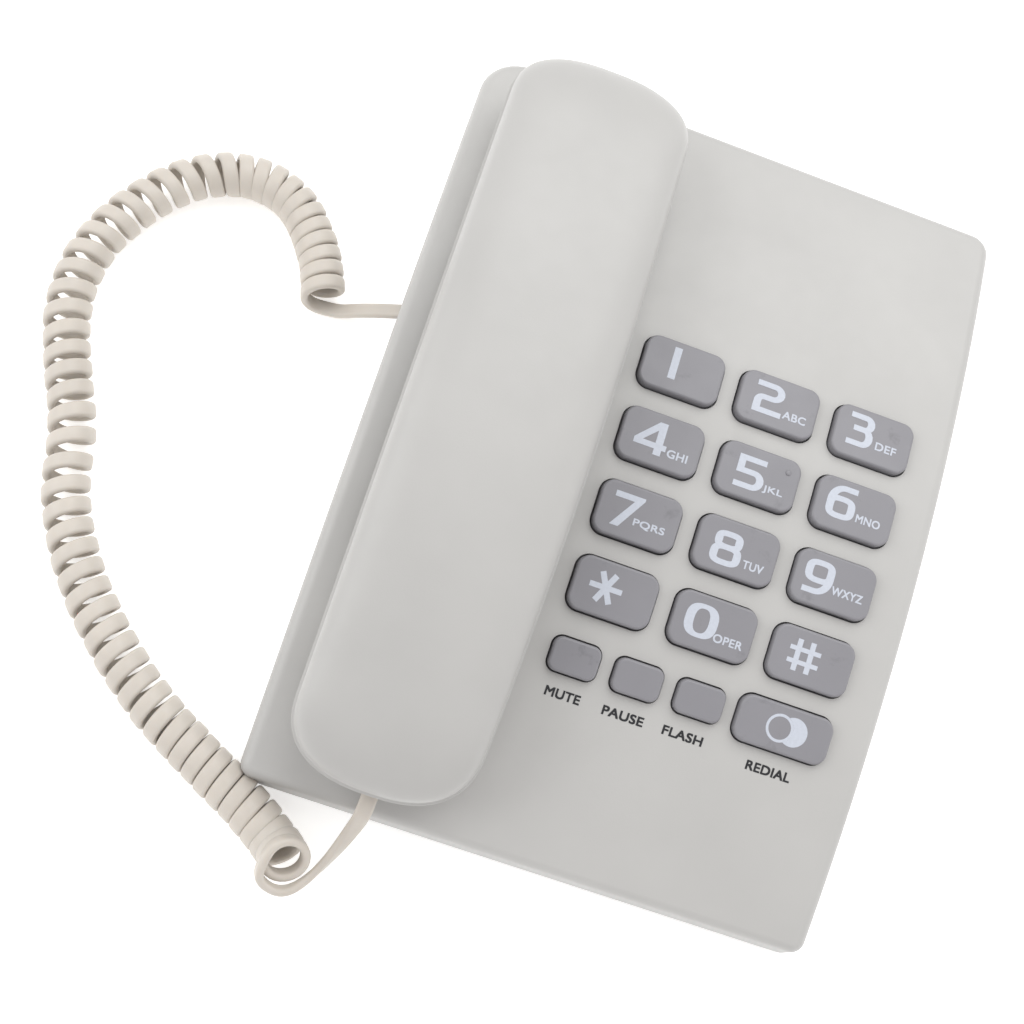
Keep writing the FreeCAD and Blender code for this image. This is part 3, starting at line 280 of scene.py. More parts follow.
def metal(name, colour, rough=0.3):
    """Plated steel or brass with fine turning marks and dull patches."""
    material, tree, shader = new_material(name)
    space = place_in_object(tree, stretch=(1, 1, 14))
    shader.inputs["Metallic"].default_value = 1.0
    dull = spread(tree, noise(tree, space, scale=160, detail=4.0), 0, 1)
    shade = tint(tree, dull, scaled(colour, 0.85), colour)
    tree.links.new(shade, shader.inputs["Base Color"])
    marks = spread(tree, noise(tree, space, scale=700, detail=3.0), rough - 0.08, rough + 0.12)
    tree.links.new(marks, shader.inputs["Roughness"])
    relief = noise(tree, space, scale=900, detail=2.0)
    bump(tree, shader, relief, strength=0.2, distance=0.02 * MM)
    return material


def clear_plastic(name):
    """Polycarbonate of the modular plugs."""
    material, tree, shader = new_material(name)
    space = place_in_object(tree)
    shader.inputs["Base Color"].default_value = (0.93, 0.95, 0.95, 1)
    shader.inputs["Transmission Weight"].default_value = 0.85
    shader.inputs["IOR"].default_value = 1.58
    haze = spread(tree, noise(tree, space, scale=500, detail=3.0), 0.06, 0.2)
    tree.links.new(haze, shader.inputs["Roughness"])
    relief = noise(tree, space, scale=400, detail=2.0)
    bump(tree, shader, relief, strength=0.15, distance=0.03 * MM)
    return material


def laminate(name, colour, copper):
    """Circuit board: glass weave under the lacquer and a hint of tracks."""
    material, tree, shader = new_material(name)
    space = place_in_object(tree)
    wave = node(tree, "ShaderNodeTexWave", wave_type="BANDS")
    wave.inputs["Scale"].default_value = 120
    wave.inputs["Distortion"].default_value = 3.0
    tree.links.new(space, wave.inputs["Vector"])
    tracks = spread(tree, wave.outputs["Fac"], 0, 1, start=0.7, end=0.75)
    shade = tint(tree, tracks, colour, copper)
    tree.links.new(shade, shader.inputs["Base Color"])
    shader.inputs["Roughness"].default_value = 0.35
    relief = noise(tree, space, scale=2200, detail=2.0)
    bump(tree, shader, relief, strength=0.3, distance=0.02 * MM)
    return material


CASE_COLOUR = linear(187, 186, 184)
# the handset's plastic is the case's plastic painted a shade darker: painted shade, because the
# higher, rounder handset catches more light than the face of the case
HANDSET_SHADED_COLOUR = linear(184, 183, 181)
KEY_COLOUR = linear(138, 137, 142)
CORD_COLOUR = linear(205, 198, 189)

MATERIALS = {
    "case": plastic("case_plastic", CASE_COLOUR),
    "handset": plastic("handset_plastic", HANDSET_SHADED_COLOUR),
    "key": plastic("key_plastic", KEY_COLOUR, rough=0.4, grain=3200, blotch=0.035, grime=0.35),
    "black": plastic("black_moulding", (0.03, 0.03, 0.032), rough=0.45),
    "jack": plastic("jack_plastic", (0.05, 0.05, 0.052), rough=0.35),
    "cord": vinyl("cord_jacket", CORD_COLOUR),
    "white_ink": ink("white_print", linear(198, 203, 214)),
    "black_ink": ink("black_print", (0.016, 0.017, 0.02)),
    "foot": rubber("foot_rubber", (0.035, 0.035, 0.036)),
    "membrane": rubber("membrane_rubber", (0.25, 0.26, 0.27)),
    "steel": metal("zinc_steel", (0.62, 0.62, 0.6)),
    "brass": metal("ringer_brass", (0.75, 0.56, 0.26)),
    "board": laminate("board_laminate", (0.03, 0.13, 0.06), (0.09, 0.24, 0.12)),
    "cable": vinyl("flat_cable_jacket", (0.35, 0.36, 0.4)),
    "plug": clear_plastic("clear_plug"),
}
CAD_FINISH = {
    "case": ["top_case", "ear_cradle_tub", "mouth_cradle_tub", "bottom_case", "handset_hanger"],
    "key": [name for name in NODES if name.startswith("key_")],
    "black": [
        "dialler_chip",
        "hook_switch",
        "ringer_switch_body",
        "dial_switch_body",
        "microphone_capsule",
    ],
    "jack": [
        "line_jack",
        "handset_cord_jack",
        "handset_jack",
        "ringer_switch_knob",
        "dial_switch_knob",
    ],
    "foot": ["rubber_feet", "microphone_boot", "receiver_gasket", "capacitors", "line_rectifier"],
    "membrane": ["keypad_membrane"],
    "steel": [
        "case_screws",
        "board_screws",
        "handset_screws",
        "base_weight",
        "handset_weight",
        "hook_spring",
    ],
    "brass": ["ringer_disc"],
    "board": ["keypad_board", "main_board", "switch_board"],
    "cable": ["flat_cable"],
    "plug": ["base_plug", "handset_plug"],
    "handset": [
        "hook_plunger",
        "hook_bracket",
        "ringer_holder",
        "board_spacers",
        "receiver_capsule",
    ],
}


def finish_cad_nodes():
    for finish, names in CAD_FINISH.items():
        for name in names:
            piece = NODES[name]
            piece.data.materials.clear()
            piece.data.materials.append(MATERIALS[finish])


# ---------------------------------------------------------------- mesh helpers


def new_piece(name, mesh, finish, body, smooth=True):
    """A finished object of the scene that rides on a CAD body."""
    piece = bpy.data.objects.new(name, mesh)
    bpy.context.scene.collection.objects.link(piece)
    mesh.materials.append(MATERIALS[finish])
    if smooth:
        mesh.shade_smooth()
    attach(piece, body)
    return piece


def mesh_from(name, vertices, faces):
    mesh = bpy.data.meshes.new(name)
    mesh.from_pydata([tuple(v) for v in vertices], [], faces)
    mesh.update()
    return mesh


def mended(mesh, weld=None):
    """The mesh with vertices nearer than weld joined and its faces turned outward."""
    work = bmesh.new()
    work.from_mesh(mesh)
    if weld is not None:
        bmesh.ops.remove_doubles(work, verts=work.verts, dist=weld)
    bmesh.ops.recalc_face_normals(work, faces=work.faces)
    work.to_mesh(mesh)
    work.free()
    return mesh


def joined_rings(rings, closed_ends=True):
    """Vertices and faces of a tube through rings of equal size."""
    count = len(rings[0])
    vertices = [point for ring in rings for point in ring]
    faces = []
    for row in range(len(rings) - 1):
        for index in range(count):
            following = (index + 1) % count
            low, high = row * count, (row + 1) * count
            faces.append((low + index, low + following, high + following, high + index))
    if closed_ends:
        faces.append(tuple(reversed(range(count))))
        last = (len(rings) - 1) * count
        faces.append(tuple(last + index for index in range(count)))
    return vertices, faces


# ---------------------------------------------------------------- handset


# the cradle's frame: its y runs up the slope of the case, from mouthpiece to earpiece
CRADLE = Matrix.Translation((-0.0425, 0, 0.0291)) @ Matrix.Rotation(math.radians(9.1461), 4, "X")
HANDSET_MIDDLE = 0.5
HALF_LENGTH = 96.7
HALF_WIDTH = 23.7
CAP_LENGTH = 17.0
CAP_STEPS = 18
CAP_SQUARENESS = 0.8
SPINE_END = 72.7
# heights over the cradle's origin and the radii of the long arcs
RIM_TOP, RIM_RADIUS = 27.04, 429.0
CROWN_TOP, CROWN_RADIUS = 39.04, 340.0
FACE_TOP, FACE_RADIUS = 12.04, 431.9
# the grip's gap over the case, how much smaller it gets at the two ends, and where
GRIP_GAP, GRIP_DEPTH = 8.0, 6.8
GRIP_STEP = (38.6, 41.4)
# how much narrower the right side gets towards the mouth end, from where and over what length
TAPER, TAPER_START, TAPER_LENGTH = 2.6, 20, 117
# powers of the crown's profiles across and along the handset, and where it starts on the rim
CROWN_ACROSS, CROWN_ALONG = 3.4, 2.3
CROWN_LIFT = 1.6
# how far out and how high the rim's bead goes, from its lower edge up
RIM_BEAD = (
    (0.1, 0.0),
    (0.55, 0.04),
    (0.68, 0.14),
    (0.68, 0.34),
    (0.58, 0.46),
    (0.3, 0.54),
    (0.08, 0.7),
    (0.0, 0.95),
    (0.0, 1.25),
)
WALL = 2.0
# the inner shell: its gap below the rim, its corner, and how far inside the outline its wall
# starts, how much further it goes on the way down, and where its flat, its inside and its lip are
SEAM_GAP = 0.18
UNDER_CORNER = 1.6
UNDER_INSET, UNDER_SLANT = 0.7, 0.9
UNDER_FLAT, UNDER_INSIDE, UNDER_LIP = 3.2, 4.2, 2.8
# the pads around the earpiece and the mouthpiece
CUP_PLACE = 61.0
CUP_BOTTOM, CUP_EDGE = 0.6, 2.4
CUP_HALF_X, CUP_HALF_Y, CUP_CORNER = 22.0, 16.5, 10.0
HOLE_RADIUS, HOLE_DEPTH = 0.8, 2.6
# circles of sound holes: their radius and how many holes are on them
EAR_HOLES = ((0, 1), (3.6, 6), (7.2, 12))
MOUTH_HOLES = ((0, 1), (3.0, 4))
# the screw wells and the opening of the cord's socket
SCREW_PLACE, SCREW_WELL = 34.0, 2.9
SOCKET_PLACE, SOCKET_HEIGHT, SOCKET_LEAN = 95.6, 8.7, 8
SOCKET_CORNER, SOCKET_SIZE = (-5, -6, -4.6), (9, 12, 9.2)


def placed(place, points):
    """Points in the millimetres of a placed frame, in metres of the scene."""
    return [place @ (Vector(point) * MM) for point in points]


def arc_drop(y, radius):
    """How far an arc has fallen at a distance from its middle."""
    return radius - math.sqrt(radius * radius - y * y)


def rim_height(y):
    return RIM_TOP - arc_drop(y - HANDSET_MIDDLE, RIM_RADIUS)


def crown_height(y):
    return CROWN_TOP - arc_drop(y - HANDSET_MIDDLE, CROWN_RADIUS)


def case_height(y):
    return FACE_TOP - arc_drop(y, FACE_RADIUS)


def smooth_step(value, low, high):
    share = min(1.0, max(0.0, (value - low) / (high - low)))
    return share * share * (3 - 2 * share)


def under_height(y):
    """Underside of the handset: arched for fingers between two ends that follow the case."""
    return case_height(y) + GRIP_GAP - GRIP_DEPTH * smooth_step(abs(y), *GRIP_STEP)


def side_stations():
    """Stations along the straight sides, close together where the grip ends."""
    straight = HALF_LENGTH - CAP_LENGTH
    spans = (
        (-straight, -45, 12),
        (-43.5, -36.5, 14),
        (-35, 35, 24),
        (36.5, 43.5, 14),
        (45, straight, 12),
    )
    return [y for low, high, count in spans for y in np.linspace(low, high, count)]


def plan_half(side, grow):
    """One side of the handset's plan, from the mouth end's tip to the ear end's tip."""
    length, cap = HALF_LENGTH + grow, CAP_LENGTH + grow
    places = []
    for end in (-1, 1):
        arc = []
        for step in range(CAP_STEPS + 1):
            turn = math.pi / 2 * step / CAP_STEPS
            along = length - cap + cap * math.cos(turn) ** CAP_SQUARENESS
            arc.append((math.sin(turn) ** CAP_SQUARENESS, end * along))
        if end < 0:
            places += arc[:-1] + [(1.0, y) for y in side_stations()]
        else:
            places += arc[:-1][::-1]
    points = []
    for share, y in places:
        taper = 0.0
        if side > 0:
            taper = TAPER * min(1.0, max(0.0, (TAPER_START - y) / TAPER_LENGTH)) ** 2
        points.append((side * share * (HALF_WIDTH - taper + grow), y))
    return points


def handset_ring(share, grow, height, end_share=None):
    """A closed ring between the outline, at a share of 1, and the spine, at 0."""
    end_share = share if end_share is None else end_share
    right, left = plan_half(1, grow), plan_half(-1, grow)
    ring = []
    for x, y in right + left[-2:0:-1]:
        spine = min(SPINE_END, max(-SPINE_END, y))
        along = spine + end_share * (y - spine) + HANDSET_MIDDLE
        ring.append((share * x, along, height(along)))
    return ring


def closing_faces(first, count):
    """Faces across a ring that is nearly shut over the spine."""
    half = count // 2
    faces = [(first, first + 1, first + count - 1)]
    for step in range(1, half - 1):
        low, high = first + step, first + count - step
        faces.append((low, low + 1, high - 1, high))
    faces.append((first + half - 1, first + half, first + half + 1))
    return faces


def handset_part(name, rings):
    """A closed shell through rings that start and end over the spine."""
    vertices, faces = joined_rings(rings, closed_ends=False)
    count = len(rings[0])
    faces += closing_faces(0, count)
    faces += closing_faces((len(rings) - 1) * count, count)
    return mended(mesh_from(name, placed(CRADLE, vertices), faces), 0.002 * MM)


def crown_rings(grow, drop, steps):
    """Rings from the top of a side wall to the spine, flatter across than along."""
    rings = []
    for step in range(steps + 1):
        # the last ring stops short of the spine, where closing faces shut it
        turn = math.pi / 2 * (step / steps) ** 0.9 * 0.985
        share = math.cos(turn) ** (2 / CROWN_ACROSS)
        rise = math.sin(turn) ** (2 / CROWN_ACROSS)
        end_share = (1 - rise**CROWN_ALONG) ** (1 / CROWN_ALONG)

        def height(y, rise=rise):
            low = rim_height(y) + CROWN_LIFT
            return low + rise * (crown_height(y) - drop - low)

        rings.append(handset_ring(share, grow, height, end_share))
    return rings


def outer_shell_mesh():
    outside = []
    for grow, lift in RIM_BEAD:
        outside.append(handset_ring(1.0, grow, lambda y, lift=lift: rim_height(y) + lift))
    outside += crown_rings(0.0, 0.0, 22)
    inside = [handset_ring(1.0, -WALL, rim_height)]
    inside += crown_rings(-WALL, WALL, 9)
    return handset_part("handset_crown", outside[::-1] + inside)


def seam_height(y):
    return rim_height(y) - SEAM_GAP


def inner_shell_mesh():
    rings = []
    for step in range(7):
        share = step / 6

        def side(y, share=share):
            top = seam_height(y)
            return top + share * (under_height(y) + UNDER_CORNER - top)

        rings.append(handset_ring(1.0, -UNDER_INSET - UNDER_SLANT * share, side))
    for step in range(1, 6):
        turn = math.pi / 2 * step / 5
        grow = -UNDER_CORNER - UNDER_CORNER * (1 - math.cos(turn))
        rise = UNDER_CORNER * (1 - math.sin(turn))
        rings.append(handset_ring(1.0, grow, lambda y, rise=rise: under_height(y) + rise))
    for share in (0.85, 0.6, 0.3, 0.05):
        rings.append(handset_ring(share, -UNDER_FLAT, under_height))
    inside = []
    for share in (0.05, 0.5, 1.0):
        inside.append(handset_ring(share, -UNDER_INSIDE, lambda y: under_height(y) + WALL))
    inside.append(handset_ring(1.0, -UNDER_LIP, seam_height))
    return handset_part("handset_underside", rings[::-1] + inside[::-1])


def rounded_rectangle(half_x, half_y, corner, steps=7):
    points = []
    for corner_index, (x, y) in enumerate(((1, 1), (-1, 1), (-1, -1), (1, -1))):
        for step in range(steps + 1):
            turn = math.pi / 2 * (corner_index + step / steps)
            arc_x, arc_y = corner * math.cos(turn), corner * math.sin(turn)
            points.append((x * (half_x - corner) + arc_x, y * (half_y - corner) + arc_y))
    return points


def cup_mesh(name, middle):
    """The raised pad around an earpiece or mouthpiece."""
    rings = []
    for step in range(7):
        turn = math.pi / 2 * step / 6
        inset = CUP_EDGE * (1 - math.sin(turn))
        height = CUP_BOTTOM + CUP_EDGE * (1 - math.cos(turn))
        outline = rounded_rectangle(CUP_HALF_X - inset, CUP_HALF_Y - inset, CUP_CORNER - inset)
        rings.append([(x, y + middle, height) for x, y in outline])
    outline = rounded_rectangle(CUP_HALF_X, CUP_HALF_Y, CUP_CORNER)
    rings.append([(x, y + middle, under_height(y + middle) + 1.0) for x, y in outline])
    vertices, faces = joined_rings(rings)
    return mended(mesh_from(name, placed(CRADLE, vertices), faces))


def drum(radius, low, high, x, y, steps=20):
    """A closed cylinder along the cradle's z, in the cradle's millimetres."""
    rings = []
    for height in (low, high):
        ring = []
        for step in range(steps):
            turn = 2 * math.pi * step / steps
            ring.append((x + radius * math.cos(turn), y + radius * math.sin(turn), height))
        rings.append(placed(CRADLE, ring))
    vertices, faces = joined_rings(rings)
    return mesh_from("drum", vertices, faces)


def block(place, low, size):
    """A closed box in the millimetres of a placed frame."""
    (left, front, bottom), (width, depth, height) = low, size
    right, back = left + width, front + depth
    rings = []
    for z in (bottom, bottom + height):
        ring = [(left, front, z), (right, front, z), (right, back, z), (left, back, z)]
        rings.append(placed(place, ring))
    vertices, faces = joined_rings(rings)
    return mesh_from("block", vertices, faces)


def combined(mesh, others, operation):
    """A mesh after exact union or difference with other closed meshes."""
    holder = bpy.data.objects.new("combined", mesh)
    bpy.context.scene.collection.objects.link(holder)
    helpers = []
    for other in others:
        helper = bpy.data.objects.new("helper", other)
        bpy.context.scene.collection.objects.link(helper)
        helpers.append(helper)
        modifier = holder.modifiers.new("step", "BOOLEAN")
        modifier.operation = operation
        modifier.solver = "EXACT"
        modifier.object = helper
    bpy.context.view_layer.update()
    graph = bpy.context.evaluated_depsgraph_get()
    result = bpy.data.meshes.new_from_object(holder.evaluated_get(graph))
    result.name = mesh.name
    for helper in helpers:
        data = helper.data
        bpy.data.objects.remove(helper)
        bpy.data.meshes.remove(data)
    bpy.data.objects.remove(holder)
    bpy.data.meshes.remove(mesh)
    return result


def sound_holes(middle, circles):
    """Drums that cut a pad's sound holes."""
    holes = []
    for radius, count in circles:
        for index in range(count):
            turn = 2 * math.pi * index / count
            x, y = radius * math.cos(turn), middle + radius * math.sin(turn)
            low, high = CUP_BOTTOM - 1, CUP_BOTTOM + HOLE_DEPTH
            holes.append(drum(HOLE_RADIUS, low, high, x, y, steps=14))
    return holes


def make_handset():
    crown = new_piece("handset_crown", outer_shell_mesh(), "handset", "handset")
    crown.data.set_sharp_from_angle(angle=math.radians(50))
    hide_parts("handset_outer_shell")
    slope = math.asin((SOCKET_PLACE - SOCKET_LEAN) / FACE_RADIUS)
    height = case_height(-SOCKET_PLACE) + SOCKET_HEIGHT
    seat = Matrix.Translation((0, -SOCKET_PLACE * MM, height * MM)) @ Matrix.Rotation(slope, 4, "X")
    socket = CRADLE @ seat @ Matrix.Rotation(math.pi / 2, 4, "Z")
    tools = [drum(SCREW_WELL, 0, 30, 0, y, steps=32) for y in (-SCREW_PLACE, SCREW_PLACE)]
    tools.append(block(socket, SOCKET_CORNER, SOCKET_SIZE))
    underside = combined(inner_shell_mesh(), tools, "DIFFERENCE")
    ear_holes = sound_holes(CUP_PLACE, EAR_HOLES)
    ear = combined(cup_mesh("ear_cup", CUP_PLACE), ear_holes, "DIFFERENCE")
    mouth_holes = sound_holes(-CUP_PLACE, MOUTH_HOLES)
    mouth = combined(cup_mesh("mouth_cup", -CUP_PLACE), mouth_holes, "DIFFERENCE")
    underside = combined(underside, [ear, mouth], "UNION")
    lower = new_piece("handset_underside", underside, "handset", "handset")
    lower.data.set_sharp_from_angle(angle=math.radians(40))
    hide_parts("handset_inner_shell")


# ---------------------------------------------------------------- printing on the keys and the face


# the face is part of a cylinder that lies along X, in millimetres
AXIS_Y, AXIS_Z = 66.737, -385.414
# the angle on the cylinder of the first row's middle
FIRST_ROW = math.asin((26.8 - AXIS_Y) / FACE_RADIUS)
KEY_RISE = 2.2
ROW_PITCH = 20.13
PEN_WIDE, PEN_HIGH = 2.05, 1.46
INK_THICK = 0.07
# ink starts this far under the surface that it is printed on
INK_SINK = 0.03
INK_WELD = 1e-5


def face_matrix(x, below, height):
    """Frame on the face, at x and a distance below the first row, with z outward."""
    angle = FIRST_ROW - below / FACE_RADIUS
    outward = Vector((0, math.sin(angle), math.cos(angle)))
    upward = Vector((0, math.cos(angle), -math.sin(angle)))
    place = Vector((x, AXIS_Y, AXIS_Z)) + outward * (FACE_RADIUS + height)
    turn = Matrix((Vector((1, 0, 0)), upward, outward)).transposed().to_4x4()
    return Matrix.Translation(place * MM) @ turn


def elliptic_arc(x, y, radius_x, radius_y, start, end, steps=10):
    """Points of an arc between two angles in degrees."""
    points = []
    for step in range(steps + 1):
        turn = math.radians(start + (end - start) * step / steps)
        points.append((x + radius_x * math.cos(turn), y + radius_y * math.sin(turn)))
    return points


def pen_sides(points, closed=False):
    """Left and right edges of a stroke by a pen that is wider than it is high."""
    left, right = [], []
    count = len(points)
    for index, (x, y) in enumerate(points):
        before = points[index - 1] if closed or index else points[0]
        after = points[(index + 1) % count] if closed or index < count - 1 else points[-1]
        dx, dy = after[0] - before[0], after[1] - before[1]
        length = math.hypot(dx, dy)
        nx, ny = -dy / length, dx / length
        half = math.hypot(nx * PEN_WIDE / 2, ny * PEN_HIGH / 2)
        left.append((x + nx * half, y + ny * half))
        right.append((x - nx * half, y - ny * half))
    return left, right


def prism(outline, hole=None):
    """A closed sheet of ink in the shape of an outline, or of a ring."""
    low = [Vector((x, y, 0)) for x, y in outline]
    high = [Vector((x, y, INK_THICK)) for x, y in outline]
    if hole is None:
        vertices, faces = joined_rings([low, high])
    else:
        inner_low = [Vector((x, y, 0)) for x, y in hole]
        inner_high = [Vector((x, y, INK_THICK)) for x, y in hole]
        vertices, faces = joined_rings([low, high, inner_high, inner_low, low], closed_ends=False)
    return mended(mesh_from("ink", vertices, faces), INK_WELD)


def stroke(points):
    left, right = pen_sides(points)
    return prism(left + right[::-1])


def loop_stroke(points):
    left, right = pen_sides(points, closed=True)
    return prism(right, left)


def bar(x, y, width, height):
    left, right = x - width / 2, x + width / 2
    low, high = y - height / 2, y + height / 2
    return prism([(left, low), (right, low), (right, high), (left, high)])


def slanted_bar(x, y, end_x, end_y, width):
    length = math.hypot(end_x - x, end_y - y)
    nx, ny = -(end_y - y) / length * width / 2, (end_x - x) / length * width / 2
    right = [(x - nx, y - ny), (end_x - nx, end_y - ny)]
    return prism(right + [(end_x + nx, end_y + ny), (x + nx, y + ny)])


def superellipse(radius_x, radius_y, power, steps=72):
    points = []
    for step in range(steps):
        turn = 2 * math.pi * step / steps
        c, s = math.cos(turn), math.sin(turn)
        x = math.copysign(abs(c) ** (2 / power), c) * radius_x
        y = math.copysign(abs(s) ** (2 / power), s) * radius_y
        points.append((x, y))
    return points


def lobe(half_width, low, high, power=3.2, steps=48):
    """A closed pen path round one lobe of a figure."""
    middle, half = (low + high) / 2, (high - low) / 2
    return [(x, y + middle) for x, y in superellipse(half_width, half, power, steps)]


def bowl(x, top, bottom, radius_x):
    """A pen path down the round right side of a figure."""
    return elliptic_arc(x, (top + bottom) / 2, radius_x, (top - bottom) / 2, 90, -90)


def figure_one():
    return [bar(0, 0, 2.0, 8.8)]


def figure_two():
    wide, high, waist, turn = 2.95, 3.62, 0.1, 1.5
    path = [(-3.9, high), (0.9, high)] + bowl(0.9, high, waist, wide - 0.9)
    path += elliptic_arc(-wide + turn, waist - turn, turn, turn, 90, 180) + [(-wide, -4.35)]
    return [stroke(path), bar(0, -high, 7.95, PEN_HIGH)]


def figure_three():
    wide, high, waist = 2.5, 3.75, 0.4
    upper = [(-3.5, high), (0.7, high)] + bowl(0.7, high, waist, wide - 0.7 - 0.15)
    # the lower stroke starts a little lower, so that no faces of the two lie in one plane
    start = waist - 0.03
    lower = [(-1.7, start), (0.6, start)] + bowl(0.7, waist, -high, wide - 0.7)
    return [stroke(upper + [(-2.2, waist)]), stroke(lower + [(-3.5, -high)])]


def figure_four():
    diagonal = prism([(-4.35, -1.33), (-2.15, -1.33), (1.5, 2.3), (1.5, 4.36), (1.15, 4.36)])
    return [diagonal, bar(2.3, 0, 2.0, 8.72), bar(0, -2.05, 8.7, 1.5)]


def figure_five():
    wide, high, waist = 2.9, 3.6, 0.22
    path = [(-1.2, waist)] + bowl(0.9, waist, -high, wide - 0.9) + [(-3.9, -high)]
    upper, lower = pen_sides(path)
    top = [(-2.0, 2.87), (3.6, 2.87), (3.6, 4.33), (-3.9, 4.33)]
    outline = upper[::-1] + [(-2.0, upper[0][1]), *top, (-3.9, lower[0][1])] + lower
    return [prism(outline)]


def figure_six():
    wide, high, waist = 2.95, 3.74, 0.85
    spine = [(3.7, high), (0.4, high)] + elliptic_arc(0.4, 0.0, wide + 0.4, high, 90, 180)
    return [loop_stroke(lobe(wide, -high, waist)), stroke(spine + [(-wide, -1.3)])]


def figure_seven():
    outside = [(-3.9, 4.4), (3.9, 4.4), (3.9, 3.72), (-1.1, -4.4), (-3.4, -4.4)]
    return [prism(outside + [(1.3, 2.87), (-3.9, 2.87)])]


def figure_eight():
    return [loop_stroke(lobe(2.72, 0.3, 3.7)), loop_stroke(lobe(3.1, -3.7, 0.3))]


def figure_nine():
    meshes = figure_six()
    for mesh in meshes:
        mesh.transform(Matrix.Rotation(math.pi, 4, "Z"))
    return meshes


def figure_zero():
    return [prism(superellipse(4.35, 4.3, 2.7), superellipse(1.98, 3.12, 2.6))]


def figure_hash():
    uprights = [bar(x, 0, 1.4, 8.15) for x in (-1.87, 1.6)]
    return uprights + [bar(0, y, 8.3, 1.15) for y in (1.55, -1.75)]


def figure_star():
    arms = [bar(0, 0, 8.5, 1.38)]
    for side in (-1, 1):
        arms.append(slanted_bar(-side * 1.85, -3.75, side * 1.85, 3.75, 1.5))
    return arms


# in the order of the rows: each key's figure and where it is, then the letters' width and place
FIGURES = {
    "key_1": (figure_one, -2.41, 0.89, None),
    "key_2": (figure_two, -2.73, 0.5, ("ABC", 6.4, 4.91, -2.29)),
    "key_3": (figure_three, -3.54, 0.89, ("DEF", 5.8, 3.92, -1.75)),
    "key_4": (figure_four, -2.63, 0.34, ("GHI", 5.5, 4.98, -2.44)),
    "key_5": (figure_five, -2.16, -0.05, ("JKL", 5.4, 4.56, -2.8)),
    "key_6": (figure_six, -3.8, 0.81, ("MNO", 6.7, 4.17, -1.87)),
    "key_7": (figure_seven, -3.16, 0.12, ("PQRS", 8.4, 3.37, -2.03)),
    "key_8": (figure_eight, -2.55, -0.45, ("TUV", 5.6, 5.16, -2.84)),
    "key_9": (figure_nine, -4.3, 0.4, ("WXYZ", 8.5, 3.99, -1.6)),
    "key_star": (figure_star, -2.3, 0.32, None),
    "key_0": (figure_zero, -3.37, 0.32, ("OPER", 7.8, 4.59, -2.57)),
    "key_hash": (figure_hash, -2.2, 0.21, None),
}
KEYS_IN_ROW = 3
LETTER_HEIGHT, LETTER_GROW = 2.2, 0.065
# each function name, its place on the face and its width
LABELS = (
    ("MUTE", -5.1, 88.5, 9.2),
    ("PAUSE", 10.9, 88.6, 10.9),
    ("FLASH", 26.8, 88.5, 10.7),
    ("REDIAL", 50.4, 90.1, 11.9),
)
LABEL_HEIGHT, LABEL_GROW = 2.45, 0.1
# the redial mark: a ring, and on its right a disc that the ring's outline has bitten into
RING_OUTER, RING_INNER = 3.6, 2.9
DISC_RADIUS, BITE_RADIUS, DISC_OFFSET = 3.7, 3.62, 3.65
MARK_PLACE = (-1.26, 0.07)
REDIAL_BELOW = 79.0
# the dome on the 5, whose foot goes a little into the key
DOT_RADIUS, DOT_HEIGHT, DOT_FOOT, DOT_PLACE = 0.78, 0.34, 0.3, (7.27, 3.4)


def letters(text, width, height, grow):
    """Capitals from the built-in font, fitted to a size, printed four times to be bolder."""
    curve = bpy.data.curves.new("letters", "FONT")
    curve.body = text
    curve.size = 1.0
    curve.space_character = 1.04
    curve.extrude = 0.01
    curve.resolution_u = 5
    holder = bpy.data.objects.new("letters", curve)
    mesh = bpy.data.meshes.new_from_object(holder)
    bpy.data.objects.remove(holder)
    bpy.data.curves.remove(curve)
    places = np.array([vertex.co for vertex in mesh.vertices], float)
    low, high = places.min(axis=0), places.max(axis=0)
    size = np.array((width - 2 * grow, height - 2 * grow, INK_THICK))
    fitted = (places - (low + high) / 2) / (high - low) * size
    fitted[:, 2] += INK_THICK / 2
    for vertex, place in zip(mesh.vertices, fitted):
        vertex.co = place
    passes = []
    for x, y, lift in ((-1, -1, 0.0), (1, -1, 0.003), (-1, 1, 0.006), (1, 1, 0.009)):
        printed = mesh.copy()
        printed.transform(Matrix.Translation((x * grow, y * grow, lift)))
        passes.append(printed)
    bpy.data.meshes.remove(mesh)
    return passes


def shifted(mesh, x, y):
    mesh.transform(Matrix.Translation((x, y, 0)))
    return mesh


def one_mesh(name, meshes, place):
    """Several meshes joined, from the millimetres of a placed frame."""
    work = bmesh.new()
    for mesh in meshes:
        work.from_mesh(mesh)
        bpy.data.meshes.remove(mesh)
    joined = bpy.data.meshes.new(name)
    work.to_mesh(joined)
    work.free()
    joined.transform(place @ Matrix.Scale(MM, 4))
    return joined


def print_piece(name, meshes, place, finish, body):
    new_piece(name, one_mesh(name, meshes, place), finish, body, smooth=False)


def key_middle(name):
    low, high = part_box(name)
    return (low[0] + high[0]) / 2 / MM


def make_key_legends():
    for index, (name, (figure, x, y, text)) in enumerate(FIGURES.items()):
        strokes = figure()
        if len(strokes) > 1:
            strokes = [combined(strokes[0], strokes[1:], "UNION")]
        meshes = [shifted(strokes[0], x, y)]
        if text:
            word, width, text_x, text_y = text
            for mesh in letters(word, width, LETTER_HEIGHT, LETTER_GROW):
                meshes.append(shifted(mesh, text_x, text_y))
        row = index // KEYS_IN_ROW
        place = face_matrix(key_middle(name), row * ROW_PITCH, KEY_RISE - INK_SINK)
        print_piece(name + "_legend", meshes, place, "white_ink", name)


def crossing_angle(radius, other):
    """Angle in degrees, from the line between two discs, of where the first meets the other."""
    reach = DISC_OFFSET
    share = (reach * reach + radius * radius - other * other) / (2 * reach * radius)
    return math.degrees(math.acos(share))


